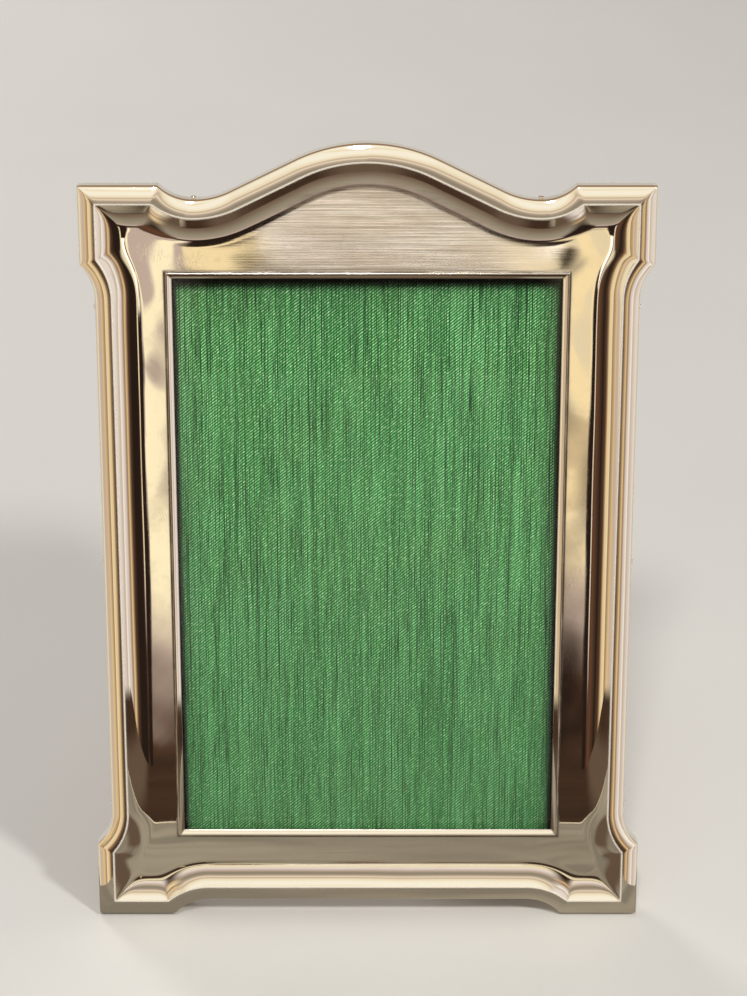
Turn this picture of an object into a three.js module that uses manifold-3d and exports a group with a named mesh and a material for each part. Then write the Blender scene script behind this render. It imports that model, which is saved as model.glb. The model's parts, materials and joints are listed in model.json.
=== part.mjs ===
// A silver-fronted photograph frame on an oak back, standing on a folding easel strut.
// Millimetres, +Z up, front towards -Y. Pieces are drawn about the centre of the sight opening:
// x across the face, z up the face, y back from the rear plane of the oak. The assembly then leans
// back until its feet and the toe of the strut stand on one level surface.
import * as THREE from "three";
import { mergeVertices } from "three/addons/utils/BufferGeometryUtils.js";
import Module from "manifold-3d";

const wasm = await Module();
wasm.setup();

// Outline of the face
const SIGHT_WIDTH = 98; // between the crests of the sight bead
const SIGHT_HEIGHT = 149.5;
const SIDE_RAIL = 17.5; // sight crest to outer edge, at the sides
const END_RAIL = 18.3; // the same at the bottom and at the troughs of the top
const EAR_STEP = 3.5; // how far the upper corners stand out from the rails
const EAR_LENGTH = 19.5; // straight edges of an upper corner
const FOOT_STEP = 4; // how far the lower corners stand out
const FOOT_LENGTH = 20;
const HOLLOW_RADIUS = 12; // hollow curve from a corner into a rail
const CROWN_RISE = 13.7; // top of the arch above the troughs
const ARCH_SLOPE = 26; // degrees, steepest part of the arch
const CROWN_TO_TROUGH = 2; // radius of the crown for each millimetre of the trough's

// Pressed silver moulding
const SHEET = 0.5;
const WALL_DEPTH = 4.2; // side wall, from its rear edge to the foot of the bead
const EDGE_ROUND = 0.8; // rounding between side wall and bead
const BEAD_WIDTH = 4.3; // outer edge to ridge
const BEAD_FOOT_RISE = 1; // foot of the bead above the panel
const BEAD_BULGE = 0.4;
const RIDGE_RISE = 2.4; // ridge above the panel
const COVE_WIDTH = 6.7; // ridge to the flat of the panel
const SIGHT_BEAD_WIDTH = 1.2; // panel to sight crest
const SIGHT_BEAD_RISE = 0.8;
const SIGHT_LIP = 1.3; // how far the lip turns in past the crest

// Layers behind the silver, from the rear plane of the oak forwards
const CLEARANCE = 0.3; // between pieces that seat on or turn in each other
const MARGIN_RECESS = 0.2; // door margin below the rear plane
const MARGIN_THICKNESS = 2;
const FIELD_RISE = 1.5; // raised field of the door above its margin
const MARGIN_WIDTH = 9;
const FIELD_BEVEL = 2.5;
const CARD_THICKNESS = 1;
const FABRIC_THICKNESS = 0.6;
const GLASS_THICKNESS = 2;
const SIGHT_OVERLAP = 1.8; // glass under the sight crest
const POCKET_PLAY = 0.5; // round glass, fabric, card and door
const DOOR_LEDGE = 3.5;
const OAK_CHAMFER = 2; // rear edge of the oak behind the silver's wall

// Fixing pins of the silver
const PIN_RADIUS = 0.4;
const PIN_LENGTH = 5;
const PIN_HEAD_RADIUS = 0.9;
const PIN_HEAD_RISE = 0.5;
const PIN_SETBACK = 2.5; // from the end of a hollow along its rail
const PIN_INSET = 1.2; // from the rear edge of the wall

// Turn buttons and screws
const BUTTON_HEIGHT = 45; // above and below the middle of the sight
const BUTTON_SETBACK = 3.8; // screw from the edge of the door's rebate
const BUTTON_RADIUS = 3;
const BUTTON_TIP_RADIUS = 1.8;
const BUTTON_REACH = 5.2; // screw to the middle of the tip
const BUTTON_THICKNESS = 1;
const SCREW_RADIUS = 0.8;
const SCREW_HEAD_RADIUS = 1.7;
const SCREW_HEAD_RISE = 0.8;
const LONG_SCREW = 5; // under the head
const SHORT_SCREW = 3.2;

// Strut, its hinge and its stay
const LEAN = 13; // degrees that the face leans back
const OPEN_ANGLE = 22; // degrees between strut and back at rest
const HINGE_HEIGHT = 52.8; // above the middle of the sight
const LEAF_THICKNESS = 0.8;
const LEAF_WIDTH = 26;
const LEAF_LENGTH = 14;
const KNUCKLE_RADIUS = 2.4;
const MIDDLE_KNUCKLE = 9;
const HINGE_PIN_RADIUS = 1;
const HINGE_SCREW_SPACING = 16;
const HINGE_SCREW_DROP = 9; // from the hinge axis
const STRUT_WIDTH = 26;
const STRUT_THICKNESS = 4.6;
const STRUT_TOP_GAP = 3.2; // hinge axis to the end of the wood
const STRUT_WAIST = 100; // hinge axis to where the toe flares
const STRUT_FLARE = 34; // length of the flare
const TOE_WIDTH = 46;
const TOE_ARCH_RADIUS = 9.5;
const STAY_ARM = 45; // hinge axis to pivot, and pivot to slide pin
const STAY_SETBACK = 0.2; // edge of the link inside the round of the knuckle
const STAY_THICKNESS = 1;
const STAY_PIN_RADIUS = 0.8;
const STAY_PIN_HEAD_RADIUS = 1.4;
const STAY_PIN_HEAD = 0.5;
const BRACKET_LENGTH = 18;
const BRACKET_WIDTH = 4;
const BRACKET_THICKNESS = 0.8;
const BRACKET_SCREW_SPACING = 6;
const KEEPER_THICKNESS = 0.8;
const KEEPER_FLANGE = 8;
const KEEPER_END = 4; // metal past each end of the slot
const KEEPER_HEAD = 1.5; // metal behind the slot
const FOLDED_ANGLE = 1.5; // degrees left between strut and back when folded

const BEAD_SHARES = [0, 0.3, 0.65]; // points across the bead, short of the ridge
const COVE_SHARES = [0, 0.15, 0.35, 0.6, 1]; // points across the cove, from the ridge
const HOLLOW_STEPS = 6;
const TROUGH_STEPS = 5;
const CROWN_STEPS = 8;
const ROUND_SIDES = 12;
const MERGE_DISTANCE = 1e-4;
const OVERRUN = 1; // how far a cutter runs past what it cuts
const radians = THREE.MathUtils.degToRad;
const at = (x, y, z) => new THREE.Vector3(x, y, z);
const UP_Y = at(0, 1, 0);
const REARWARDS = at(0, 1, 0);
const RIGHTWARDS = at(1, 0, 0);

// Heights above the oak's rear plane
const DOOR_FRONT = MARGIN_RECESS + MARGIN_THICKNESS;
const LEDGE = DOOR_FRONT + CLEARANCE;
const FABRIC_REAR = LEDGE + CARD_THICKNESS + CLEARANCE;
const GLASS_REAR = FABRIC_REAR + FABRIC_THICKNESS + CLEARANCE;
const LIP_REAR = GLASS_REAR + GLASS_THICKNESS + CLEARANCE;
const OAK_FRONT = LIP_REAR;
const PANEL = OAK_FRONT + CLEARANCE + SHEET;
const BEAD_FOOT = PANEL + BEAD_FOOT_RISE;
const RIDGE = PANEL + RIDGE_RISE;
const WALL_REAR = BEAD_FOOT - WALL_DEPTH;

// Lines of the outline, measured from the middle of the sight
const RAIL_X = SIGHT_WIDTH / 2 + SIDE_RAIL;
const RAIL_Z = SIGHT_HEIGHT / 2 + END_RAIL;
const EAR_X = RAIL_X + EAR_STEP;
const EAR_Z = RAIL_Z + EAR_STEP;
const FOOT_X = RAIL_X + FOOT_STEP;
const FOOT_Z = RAIL_Z + FOOT_STEP;
const CROWN_Z = RAIL_Z + CROWN_RISE;
const COVE_END = BEAD_WIDTH + COVE_WIDTH;
const PANEL_END = SIDE_RAIL - SIGHT_BEAD_WIDTH;
const OAK_INSET = SHEET + CLEARANCE;
const GLASS_X = SIGHT_WIDTH / 2 + SIGHT_OVERLAP;
const GLASS_Z = SIGHT_HEIGHT / 2 + SIGHT_OVERLAP;
const POCKET_OUTSET = SIGHT_OVERLAP + POCKET_PLAY;
const REBATE_OUTSET = POCKET_OUTSET + DOOR_LEDGE;

// How far a hollow curve, set in from the edge, runs along its rail before it meets the corner.
function hollowRun(step, inset) {
  const radius = HOLLOW_RADIUS + inset;
  return Math.sqrt(radius ** 2 - (radius - step) ** 2);
}

// Where the hollows leave their rails
const FOOT_HOLLOW_X = FOOT_X - FOOT_LENGTH - hollowRun(FOOT_STEP, 0);
const FOOT_HOLLOW_Z = FOOT_Z - FOOT_LENGTH - hollowRun(FOOT_STEP, 0);
const EAR_HOLLOW_Z = EAR_Z - EAR_LENGTH - hollowRun(EAR_STEP, 0);
const TROUGH_X = EAR_X - EAR_LENGTH - hollowRun(EAR_STEP, 0);

// Radii of crown and trough, whose arcs meet a straight of the arch's slope between them
const slope = radians(ARCH_SLOPE);
const archRadii = (TROUGH_X - CROWN_RISE / Math.tan(slope)) / Math.tan(slope / 2);
const TROUGH_RADIUS = archRadii / (1 + CROWN_TO_TROUGH);
const CROWN_RADIUS = archRadii - TROUGH_RADIUS;

function line(from, to, steps) {
  return Array.from({ length: steps }, (_, i) => from.map((a, k) => a + ((to[k] - a) * i) / steps));
}

function arc(centre, radius, from, to, steps) {
  return line([from], [to], steps).map(([angle]) => [
    centre[0] + radius * Math.cos(angle),
    centre[1] + radius * Math.sin(angle),
  ]);
}

// The right half of the outline, set in by a distance, from the bottom centre up to the crown.
function halfOutline(inset) {
  const up = Math.PI / 2;
  const [railX, earX, footX] = [RAIL_X - inset, EAR_X - inset, FOOT_X - inset];
  const [railZ, earZ, footZ] = [RAIL_Z - inset, EAR_Z - inset, FOOT_Z - inset];
  const hollow = HOLLOW_RADIUS + inset;
  const footRun = hollowRun(FOOT_STEP, inset);
  const earRun = hollowRun(EAR_STEP, inset);
  const footTurn = Math.asin(footRun / hollow);
  const earTurn = Math.asin(earRun / hollow);
  const trough = TROUGH_RADIUS + inset;
  const crown = CROWN_RADIUS - inset;
  const troughCentre = [TROUGH_X, RAIL_Z + TROUGH_RADIUS];
  const crownCentre = [0, CROWN_Z - CROWN_RADIUS];
  const slopeLow = arc(troughCentre, trough, -up - slope, 0, 1)[0];
  const slopeHigh = arc(crownCentre, crown, up - slope, 0, 1)[0];
  return {
    bottom: [
      ...line([0, -railZ], [FOOT_HOLLOW_X, -railZ], 2),
      ...arc([FOOT_HOLLOW_X, -RAIL_Z - HOLLOW_RADIUS], hollow, up, up - footTurn, HOLLOW_STEPS),
      ...line([FOOT_HOLLOW_X + footRun, -footZ], [footX, -footZ], 1),
    ],
    side: [
      ...line([footX, -footZ], [footX, -FOOT_HOLLOW_Z - footRun], 1),
      ...arc([RAIL_X + HOLLOW_RADIUS, -FOOT_HOLLOW_Z], hollow, 2 * up + footTurn, 2 * up, HOLLOW_STEPS),
      ...line([railX, -FOOT_HOLLOW_Z], [railX, EAR_HOLLOW_Z], 4),
      ...arc([RAIL_X + HOLLOW_RADIUS, EAR_HOLLOW_Z], hollow, 2 * up, 2 * up - earTurn, HOLLOW_STEPS),
      ...line([earX, EAR_HOLLOW_Z + earRun], [earX, earZ], 1),
    ],
    top: [
      ...line([earX, earZ], [TROUGH_X + earRun, earZ], 1),
      ...arc([TROUGH_X, RAIL_Z + HOLLOW_RADIUS], hollow, earTurn - up, -up, HOLLOW_STEPS),
      ...arc(troughCentre, trough, -up, -up - slope, TROUGH_STEPS),
      ...line(slopeLow, slopeHigh, 2),
      ...arc(crownCentre, crown, up - slope, up, CROWN_STEPS),
      [0, CROWN_Z - inset],
    ],
  };
}

// A closed ring from its right half, which starts and ends on the centre line.
function mirrored(half) {
  const left = half.slice(1, -1).map(([x, z]) => [-x, z]);
  return [...half, ...left.reverse()];
}

function outlineRing(inset) {
  const { bottom, side, top } = halfOutline(inset);
  return mirrored([...bottom, ...side, ...top]);
}

// A rectangle round the sight, with its points opposite those of the outline.
function sightRing(outset) {
  const { bottom, side, top } = halfOutline(COVE_END);
  const halfX = SIGHT_WIDTH / 2 + outset;
  const halfZ = SIGHT_HEIGHT / 2 + outset;
  const [earX, earZ] = [EAR_X - COVE_END, EAR_Z - COVE_END];
  const [footX, footZ] = [FOOT_X - COVE_END, FOOT_Z - COVE_END];
  return mirrored([
    ...bottom.map(([x]) => [(halfX * x) / footX, -halfZ]),
    ...side.map(([, z]) => [halfX, (halfZ * z) / (z < 0 ? footZ : earZ)]),
    ...top.map(([x]) => [(halfX * x) / earX, halfZ]),
  ]);
}

// The ring that lies a distance in from the outer edge of a side rail: parallel to the outline as
// far as the cove reaches, easing across the panel into the rectangle of the sight.
function faceRing(run) {
  if (run <= COVE_END) return outlineRing(run);
  if (run >= PANEL_END) return sightRing(SIDE_RAIL - run);
  const share = (run - COVE_END) / (PANEL_END - COVE_END);
  const inner = sightRing(SIDE_RAIL - PANEL_END);
  return outlineRing(COVE_END).map(([x, z], i) => [
    x + (inner[i][0] - x) * share,
    z + (inner[i][1] - z) * share,
  ]);
}

// Rings placed at heights in front of the oak's rear plane, joined into one closed skin. A hollow
// loft comes back to its first ring; a filled one starts and ends in a flat cap.
function ringLoft(sections, hollow) {
  const count = sections[0].ring.length;
  const positions = sections.flatMap(({ ring, height }) => ring.flatMap(([x, z]) => [x, -height, z]));
  const index = [];
  const bands = hollow ? sections.length : sections.length - 1;
  for (let k = 0; k < bands; k++) {
    const next = (k + 1) % sections.length;
    for (let i = 0; i < count; i++) {
      const j = (i + 1) % count;
      const [a, b, c, d] = [k * count + i, k * count + j, next * count + j, next * count + i];
      index.push(a, b, c, a, c, d);
    }
  }
  if (!hollow) {
    const contour = sections[0].ring.map(([x, z]) => new THREE.Vector2(x, z));
    const last = (sections.length - 1) * count;
    for (const [a, b, c] of THREE.ShapeUtils.triangulateShape(contour, [])) {
      index.push(c, b, a, last + a, last + b, last + c);
    }
  }
  const geometry = new THREE.BufferGeometry();
  geometry.setAttribute("position", new THREE.Float32BufferAttribute(positions, 3));
  geometry.setIndex(index);
  geometry.computeVertexNormals();
  return geometry;
}

// A flat plate whose outline lies in x and z, between two depths.
function facePlate(shape, front, rear) {
  const options = { depth: rear - front, bevelEnabled: false, curveSegments: ROUND_SIDES / 2 };
  return new THREE.ExtrudeGeometry(shape, options).rotateX(Math.PI / 2).translate(0, rear, 0);
}

// A flat plate whose outline lies in y and z, between two places across.
function sidePlate(shape, left, right) {
  const options = { depth: right - left, bevelEnabled: false, curveSegments: ROUND_SIDES / 2 };
  const turn = new THREE.Matrix4().makeBasis(at(0, 1, 0), at(0, 0, 1), at(1, 0, 0));
  return new THREE.ExtrudeGeometry(shape, options).applyMatrix4(turn).translate(left, 0, 0);
}

// A bar with round ends of their own radii, from the origin along the first axis of its plane.
function roundedBar(startRadius, endRadius, length) {
  const turn = Math.acos((startRadius - endRadius) / length);
  const shape = new THREE.Shape();
  shape.absarc(0, 0, startRadius, turn, 2 * Math.PI - turn, false);
  shape.absarc(length, 0, endRadius, -turn, turn, false);
  shape.closePath();
  return shape;
}

function circle(x, y, radius) {
  return new THREE.Shape().absarc(x, y, radius, 0, 2 * Math.PI, false);
}

function rectangle(left, low, right, high) {
  const shape = new THREE.Shape();
  shape.moveTo(left, low).lineTo(right, low).lineTo(right, high).lineTo(left, high).closePath();
  return shape;
}

// A turned piece about +Y from pairs of radius and height.
function turned(profile) {
  return new THREE.LatheGeometry(
    profile.map(([radius, height]) => new THREE.Vector2(radius, height)),
    ROUND_SIDES,
  );
}

// A round bar between two points, for boring holes.
function bore(from, to, radius) {
  const along = new THREE.Vector3().subVectors(to, from);
  const turn = new THREE.Quaternion().setFromUnitVectors(UP_Y, along.clone().normalize());
  return new THREE.CylinderGeometry(radius, radius, along.length(), ROUND_SIDES)
    .applyQuaternion(turn)
    .translate((from.x + to.x) / 2, (from.y + to.y) / 2, (from.z + to.z) / 2);
}

function solidOf(geometry) {
  const bare = geometry.index ? geometry.toNonIndexed() : geometry.clone();
  bare.deleteAttribute("normal");
  bare.deleteAttribute("uv");
  const merged = mergeVertices(bare, MERGE_DISTANCE);
  return new wasm.Manifold(
    new wasm.Mesh({
      numProp: 3,
      vertProperties: merged.attributes.position.array,
      triVerts: new Uint32Array(merged.index.array),
    }),
  );
}

function geometryOf(solid) {
  const mesh = solid.getMesh();
  const geometry = new THREE.BufferGeometry();
  geometry.setAttribute("position", new THREE.BufferAttribute(mesh.vertProperties, 3));
  geometry.setIndex(new THREE.BufferAttribute(mesh.triVerts, 1));
  geometry.computeVertexNormals();
  return geometry;
}

function cut(geometry, cutters) {
  return geometryOf(cutters.reduce((rest, cutter) => rest.subtract(solidOf(cutter)), solidOf(geometry)));
}

function join(geometries) {
  return geometryOf(geometries.map(solidOf).reduce((whole, part) => whole.add(part)));
}

const finishes = {
  silver: { color: 0xc9bda8, roughness: 0.18, metalness: 1 },
  oak: { color: 0x8a6238, roughness: 0.6, metalness: 0 },
  brass: { color: 0xb08d4a, roughness: 0.35, metalness: 1 },
  glass: { color: 0xe4ece8, roughness: 0.05, metalness: 0, transparent: true, opacity: 0.25 },
  fabric: { color: 0x35804a, roughness: 0.7, metalness: 0 },
  card: { color: 0xb9a98c, roughness: 0.9, metalness: 0 },
};

function addPiece(parent, name, geometry, finish) {
  const mesh = new THREE.Mesh(geometry, new THREE.MeshStandardMaterial(finishes[finish]));
  mesh.name = name;
  parent.add(mesh);
  return mesh;
}

// A turned piece stood at a point and pointed along a direction.
function addTurned(parent, name, profile, finish, point, direction) {
  const mesh = addPiece(parent, name, turned(profile), finish);
  mesh.position.copy(point);
  mesh.quaternion.setFromUnitVectors(UP_Y, direction);
  return mesh;
}

// Quarter of an ellipse from a rim up to its crown, as pairs of radius and height.
function dome(radius, rise) {
  const eighth = Math.PI / 4;
  return [
    [radius, 0],
    [radius * Math.cos(eighth), rise * Math.sin(eighth)],
    [0, rise],
  ];
}

// Domed screw from its tip to its head; height 0 is the seat under the head.
function screwProfile(length) {
  return [
    [0, -length],
    [SCREW_RADIUS, SCREW_RADIUS - length],
    [SCREW_RADIUS, 0],
    ...dome(SCREW_HEAD_RADIUS, SCREW_HEAD_RISE),
  ];
}

// A screw of a given length under its head, seated at a point and driven against a direction.
function addScrew(parent, name, seat, direction, length) {
  const head = seat.clone().addScaledVector(direction, CLEARANCE);
  addTurned(parent, name, screwProfile(length), "brass", head, direction);
}

// The hole that clears such a screw.
function screwHole(seat, direction, length) {
  const tip = seat.clone().addScaledVector(direction, -length);
  const mouth = seat.clone().addScaledVector(direction, SCREW_HEAD_RISE);
  return bore(tip, mouth, SCREW_RADIUS + CLEARANCE);
}

const group = new THREE.Group();

// Places of the pins: wall point and outward direction, beside each corner and halfway up the sides
const PIN_HEIGHT = WALL_REAR + PIN_INSET;
const pins = [1, -1].flatMap((side) => {
  const hand = side > 0 ? "right" : "left";
  const out = at(side, 0, 0);
  const edge = side * RAIL_X;
  return [
    { name: `pin_top_${hand}`, wall: at(side * TROUGH_X, -PIN_HEIGHT, RAIL_Z), out: at(0, 0, 1) },
    { name: `pin_ear_${hand}`, wall: at(edge, -PIN_HEIGHT, EAR_HOLLOW_Z - PIN_SETBACK), out },
    { name: `pin_side_${hand}`, wall: at(edge, -PIN_HEIGHT, 0), out },
    { name: `pin_foot_${hand}`, wall: at(edge, -PIN_HEIGHT, PIN_SETBACK - FOOT_HOLLOW_Z), out },
    {
      name: `pin_bottom_${hand}`,
      wall: at(side * (FOOT_HOLLOW_X - PIN_SETBACK), -PIN_HEIGHT, -RAIL_Z),
      out: at(0, 0, -1),
    },
  ];
});

const pinHoles = pins.map(({ wall, out }) =>
  bore(
    wall.clone().addScaledVector(out, -PIN_LENGTH - CLEARANCE),
    wall.clone().addScaledVector(out, PIN_HEAD_RISE),
    PIN_RADIUS + CLEARANCE,
  ),
);

function addPins() {
  const profile = [
    [0, -PIN_LENGTH - CLEARANCE],
    [PIN_RADIUS, -PIN_LENGTH],
    [PIN_RADIUS, 0],
    ...dome(PIN_HEAD_RADIUS, PIN_HEAD_RISE),
  ];
  for (const { name, wall, out } of pins) {
    addTurned(group, name, profile, "silver", wall.clone().addScaledVector(out, CLEARANCE), out);
  }
}

// Profile of the silver across a side rail, as pairs of run and height: wall, rounded edge, bead,
// ridge, cove, panel, sight bead and turned-in lip.
function silverProfile() {
  const bevel = EDGE_ROUND * (1 - Math.SQRT1_2);
  const bead = BEAD_SHARES.map((share) => [
    EDGE_ROUND + (BEAD_WIDTH - EDGE_ROUND) * share,
    BEAD_FOOT + (RIDGE - BEAD_FOOT) * share + BEAD_BULGE * Math.sin(Math.PI * share),
  ]);
  const cove = COVE_SHARES.map((share) => [
    BEAD_WIDTH + COVE_WIDTH * share,
    PANEL + RIDGE_RISE * (1 - share) ** 3,
  ]);
  const sightBead = dome(SIGHT_BEAD_WIDTH, SIGHT_BEAD_RISE).map(([reach, rise]) => [
    SIDE_RAIL - reach,
    PANEL + rise,
  ]);
  const lip = SIDE_RAIL + SIGHT_LIP;
  return [
    [0, WALL_REAR],
    [0, BEAD_FOOT - EDGE_ROUND],
    [bevel, BEAD_FOOT - bevel],
    ...bead,
    ...cove,
    ...sightBead,
    [lip, PANEL],
    [lip, LIP_REAR],
  ];
}

// The same profile moved by the sheet's thickness to its hidden side.
function behind(profile) {
  return profile.map(([run, height], i) => {
    const before = profile[Math.max(i - 1, 0)];
    const after = profile[Math.min(i + 1, profile.length - 1)];
    const one = new THREE.Vector2(run - before[0], height - before[1]).normalize();
    const two = new THREE.Vector2(after[0] - run, after[1] - height).normalize();
    const way = new THREE.Vector2().addVectors(one, two).normalize();
    const mitre = SHEET / way.dot(i ? one : two);
    return [run + way.y * mitre, height - way.x * mitre];
  });
}

function addSilverFront() {
  const outside = silverProfile();
  const loop = [...outside, ...behind(outside).reverse()];
  const sections = loop.map(([run, height]) => ({ ring: faceRing(run), height }));
  addPiece(group, "silver_front", cut(ringLoft(sections, true), pinHoles), "silver");
}

// Turn buttons, two on each side of the door
const buttons = [1, -1].flatMap((side) =>
  [1, -1].map((level) => ({
    name: `turn_button_${level > 0 ? "upper" : "lower"}_${side > 0 ? "right" : "left"}`,
    screw: at(side * (SIGHT_WIDTH / 2 + REBATE_OUTSET + BUTTON_SETBACK), 0, level * BUTTON_HEIGHT),
    inwards: side > 0 ? Math.PI : 0,
  })),
);
const BUTTON_REAR = CLEARANCE + BUTTON_THICKNESS;

function addButtons() {
  for (const { name, screw, inwards } of buttons) {
    const shape = roundedBar(BUTTON_RADIUS, BUTTON_TIP_RADIUS, BUTTON_REACH);
    shape.holes.push(circle(0, 0, SCREW_RADIUS + CLEARANCE));
    const button = addPiece(group, name, facePlate(shape, CLEARANCE, BUTTON_REAR), "brass");
    button.position.copy(screw);
    button.rotation.y = inwards;
    const seat = at(screw.x, BUTTON_REAR, screw.z);
    addScrew(group, name.replace("button", "button_screw"), seat, REARWARDS, LONG_SCREW);
  }
}

function addOak() {
  const sections = [
    { ring: outlineRing(OAK_INSET), height: WALL_REAR },
    { ring: outlineRing(OAK_INSET), height: OAK_FRONT },
    { ring: sightRing(POCKET_OUTSET), height: OAK_FRONT },
    { ring: sightRing(POCKET_OUTSET), height: LEDGE },
    { ring: sightRing(REBATE_OUTSET), height: LEDGE },
    { ring: sightRing(REBATE_OUTSET), height: 0 },
    { ring: outlineRing(OAK_INSET + OAK_CHAMFER), height: 0 },
  ];
  const screwHoles = buttons.map(({ screw }) =>
    bore(at(screw.x, -LONG_SCREW, screw.z), at(screw.x, OVERRUN, screw.z), SCREW_RADIUS + CLEARANCE),
  );
  addPiece(group, "oak_carcass", cut(ringLoft(sections, true), [...pinHoles, ...screwHoles]), "oak");
}

function addLayers() {
  const sheet = rectangle(-GLASS_X, -GLASS_Z, GLASS_X, GLASS_Z);
  const layer = (name, rear, thickness, finish) =>
    addPiece(group, name, facePlate(sheet, -rear - thickness, -rear), finish);
  layer("glass_pane", GLASS_REAR, GLASS_THICKNESS, "glass");
  layer("fabric_panel", FABRIC_REAR, FABRIC_THICKNESS, "fabric");
  layer("backing_card", LEDGE, CARD_THICKNESS, "card");
}

// Depths behind the oak's rear plane, for what is fixed to the field of the door
const FIELD = FIELD_RISE - MARGIN_RECESS;
const LEAF_FRONT = FIELD + CLEARANCE;
const LEAF_REAR = LEAF_FRONT + LEAF_THICKNESS;
const AXIS_Y = LEAF_FRONT + KNUCKLE_RADIUS;
const BRACKET_LEFT = STRUT_WIDTH / 2 + CLEARANCE;
const LINK_LEFT = BRACKET_LEFT + BRACKET_THICKNESS + CLEARANCE;
const LINK_RIGHT = LINK_LEFT + STAY_THICKNESS;
const KEEPER_LEFT = LINK_RIGHT + CLEARANCE;
const KEEPER_RIGHT = KEEPER_LEFT + KEEPER_THICKNESS;
const KEEPER_REAR = FIELD + CLEARANCE + KEEPER_THICKNESS;
const SLOT_TOP = HINGE_HEIGHT - 2 * STAY_ARM * Math.cos(radians(OPEN_ANGLE));
const SLOT_BOTTOM = HINGE_HEIGHT - 2 * STAY_ARM * Math.cos(radians(FOLDED_ANGLE));
const SLOT_HALF = STAY_PIN_RADIUS + CLEARANCE;

const hingeScrews = [
  { name: "hinge_screw_door_left", x: -HINGE_SCREW_SPACING / 2 },
  { name: "hinge_screw_door_right", x: HINGE_SCREW_SPACING / 2 },
].map(({ name, x }) => ({ name, seat: at(x, LEAF_REAR, HINGE_HEIGHT + HINGE_SCREW_DROP) }));

const KEEPER_SCREW_X = KEEPER_RIGHT + KEEPER_FLANGE / 2;
const keeperScrews = [
  { name: "keeper_screw_upper", seat: at(KEEPER_SCREW_X, KEEPER_REAR, SLOT_TOP) },
  { name: "keeper_screw_lower", seat: at(KEEPER_SCREW_X, KEEPER_REAR, SLOT_BOTTOM) },
];
const doorHoles = [...hingeScrews, ...keeperScrews].map(({ seat }) =>
  screwHole(seat, REARWARDS, SHORT_SCREW),
);

function addDoor() {
  const halfX = SIGHT_WIDTH / 2 + REBATE_OUTSET - POCKET_PLAY;
  const halfZ = SIGHT_HEIGHT / 2 + REBATE_OUTSET - POCKET_PLAY;
  const section = (inset, height) => {
    const [x, z] = [halfX - inset, halfZ - inset];
    return { ring: [[-x, -z], [x, -z], [x, z], [-x, z]], height };
  };
  const board = ringLoft(
    [
      section(MARGIN_WIDTH + FIELD_BEVEL, -FIELD),
      section(MARGIN_WIDTH, MARGIN_RECESS),
      section(0, MARGIN_RECESS),
      section(0, DOOR_FRONT),
    ],
    false,
  );
  addPiece(group, "back_door", cut(board, doorHoles), "oak");
}

// One leaf of the hinge about the hinge axis: a plate with its knuckles, up or down from the axis.
function hingeLeaf(direction, knuckles, holes) {
  const leafLow = Math.min(0, direction * LEAF_LENGTH);
  const plate = facePlate(
    rectangle(-LEAF_WIDTH / 2, leafLow, LEAF_WIDTH / 2, leafLow + LEAF_LENGTH),
    -KNUCKLE_RADIUS,
    LEAF_THICKNESS - KNUCKLE_RADIUS,
  );
  const gapHalf = KNUCKLE_RADIUS + CLEARANCE;
  const gaps = knuckles.gaps.map(([left, right]) =>
    facePlate(rectangle(left, -gapHalf, right, gapHalf), -gapHalf, gapHalf),
  );
  const barrels = knuckles.barrels.map(([left, right]) =>
    bore(at(left, 0, 0), at(right, 0, 0), KNUCKLE_RADIUS),
  );
  const eye = bore(at(-LEAF_WIDTH, 0, 0), at(LEAF_WIDTH, 0, 0), HINGE_PIN_RADIUS + CLEARANCE);
  return cut(join([cut(plate, gaps), ...barrels]), [eye, ...holes]);
}

function addHinge(strut) {
  const middle = MIDDLE_KNUCKLE / 2;
  const outer = middle + CLEARANCE;
  const end = LEAF_WIDTH / 2;
  const doorHolesAtAxis = hingeScrews.map(({ seat }) =>
    screwHole(at(seat.x, LEAF_REAR - AXIS_Y, HINGE_SCREW_DROP), REARWARDS, SHORT_SCREW),
  );
  const doorLeaf = hingeLeaf(
    1,
    { barrels: [[-end, -outer], [outer, end]], gaps: [[-outer, outer]] },
    doorHolesAtAxis,
  );
  addPiece(group, "hinge_leaf_door", doorLeaf, "brass").position.set(0, AXIS_Y, HINGE_HEIGHT);
  for (const { name, seat } of hingeScrews) addScrew(group, name, seat, REARWARDS, SHORT_SCREW);

  const headRadius = SCREW_HEAD_RADIUS + CLEARANCE;
  const sunk = [-1, 1].map((side) => at((side * HINGE_SCREW_SPACING) / 2, 0, -HINGE_SCREW_DROP));
  const sinks = sunk.map(({ x, z }) => bore(at(x, -2 * KNUCKLE_RADIUS, z), at(x, 0, z), headRadius));
  const strutLeaf = hingeLeaf(
    -1,
    { barrels: [[-middle, middle]], gaps: [[-end - OVERRUN, -middle], [middle, end + OVERRUN]] },
    sinks,
  );
  addPiece(strut, "hinge_leaf_strut", strutLeaf, "brass");
  const flush = [
    [0, -SHORT_SCREW],
    [SCREW_RADIUS, SCREW_RADIUS - SHORT_SCREW],
    [SCREW_RADIUS, -LEAF_THICKNESS],
    [SCREW_HEAD_RADIUS, 0],
    [0, 0],
  ];
  sunk.forEach(({ x, z }, i) => {
    const name = `hinge_screw_strut_${i ? "right" : "left"}`;
    addTurned(strut, name, flush, "brass", at(x, -KNUCKLE_RADIUS, z), at(0, -1, 0));
  });
  const pinHalf = LEAF_WIDTH / 2;
  const pin = bore(at(-pinHalf, 0, 0), at(pinHalf, 0, 0), HINGE_PIN_RADIUS);
  addPiece(group, "hinge_pin", pin, "brass").position.set(0, AXIS_Y, HINGE_HEIGHT);
  const depth = SHORT_SCREW - KNUCKLE_RADIUS + CLEARANCE;
  return sunk.map(({ x, z }) =>
    bore(at(x, -KNUCKLE_RADIUS, z), at(x, depth, z), SCREW_RADIUS + CLEARANCE),
  );
}

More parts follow.
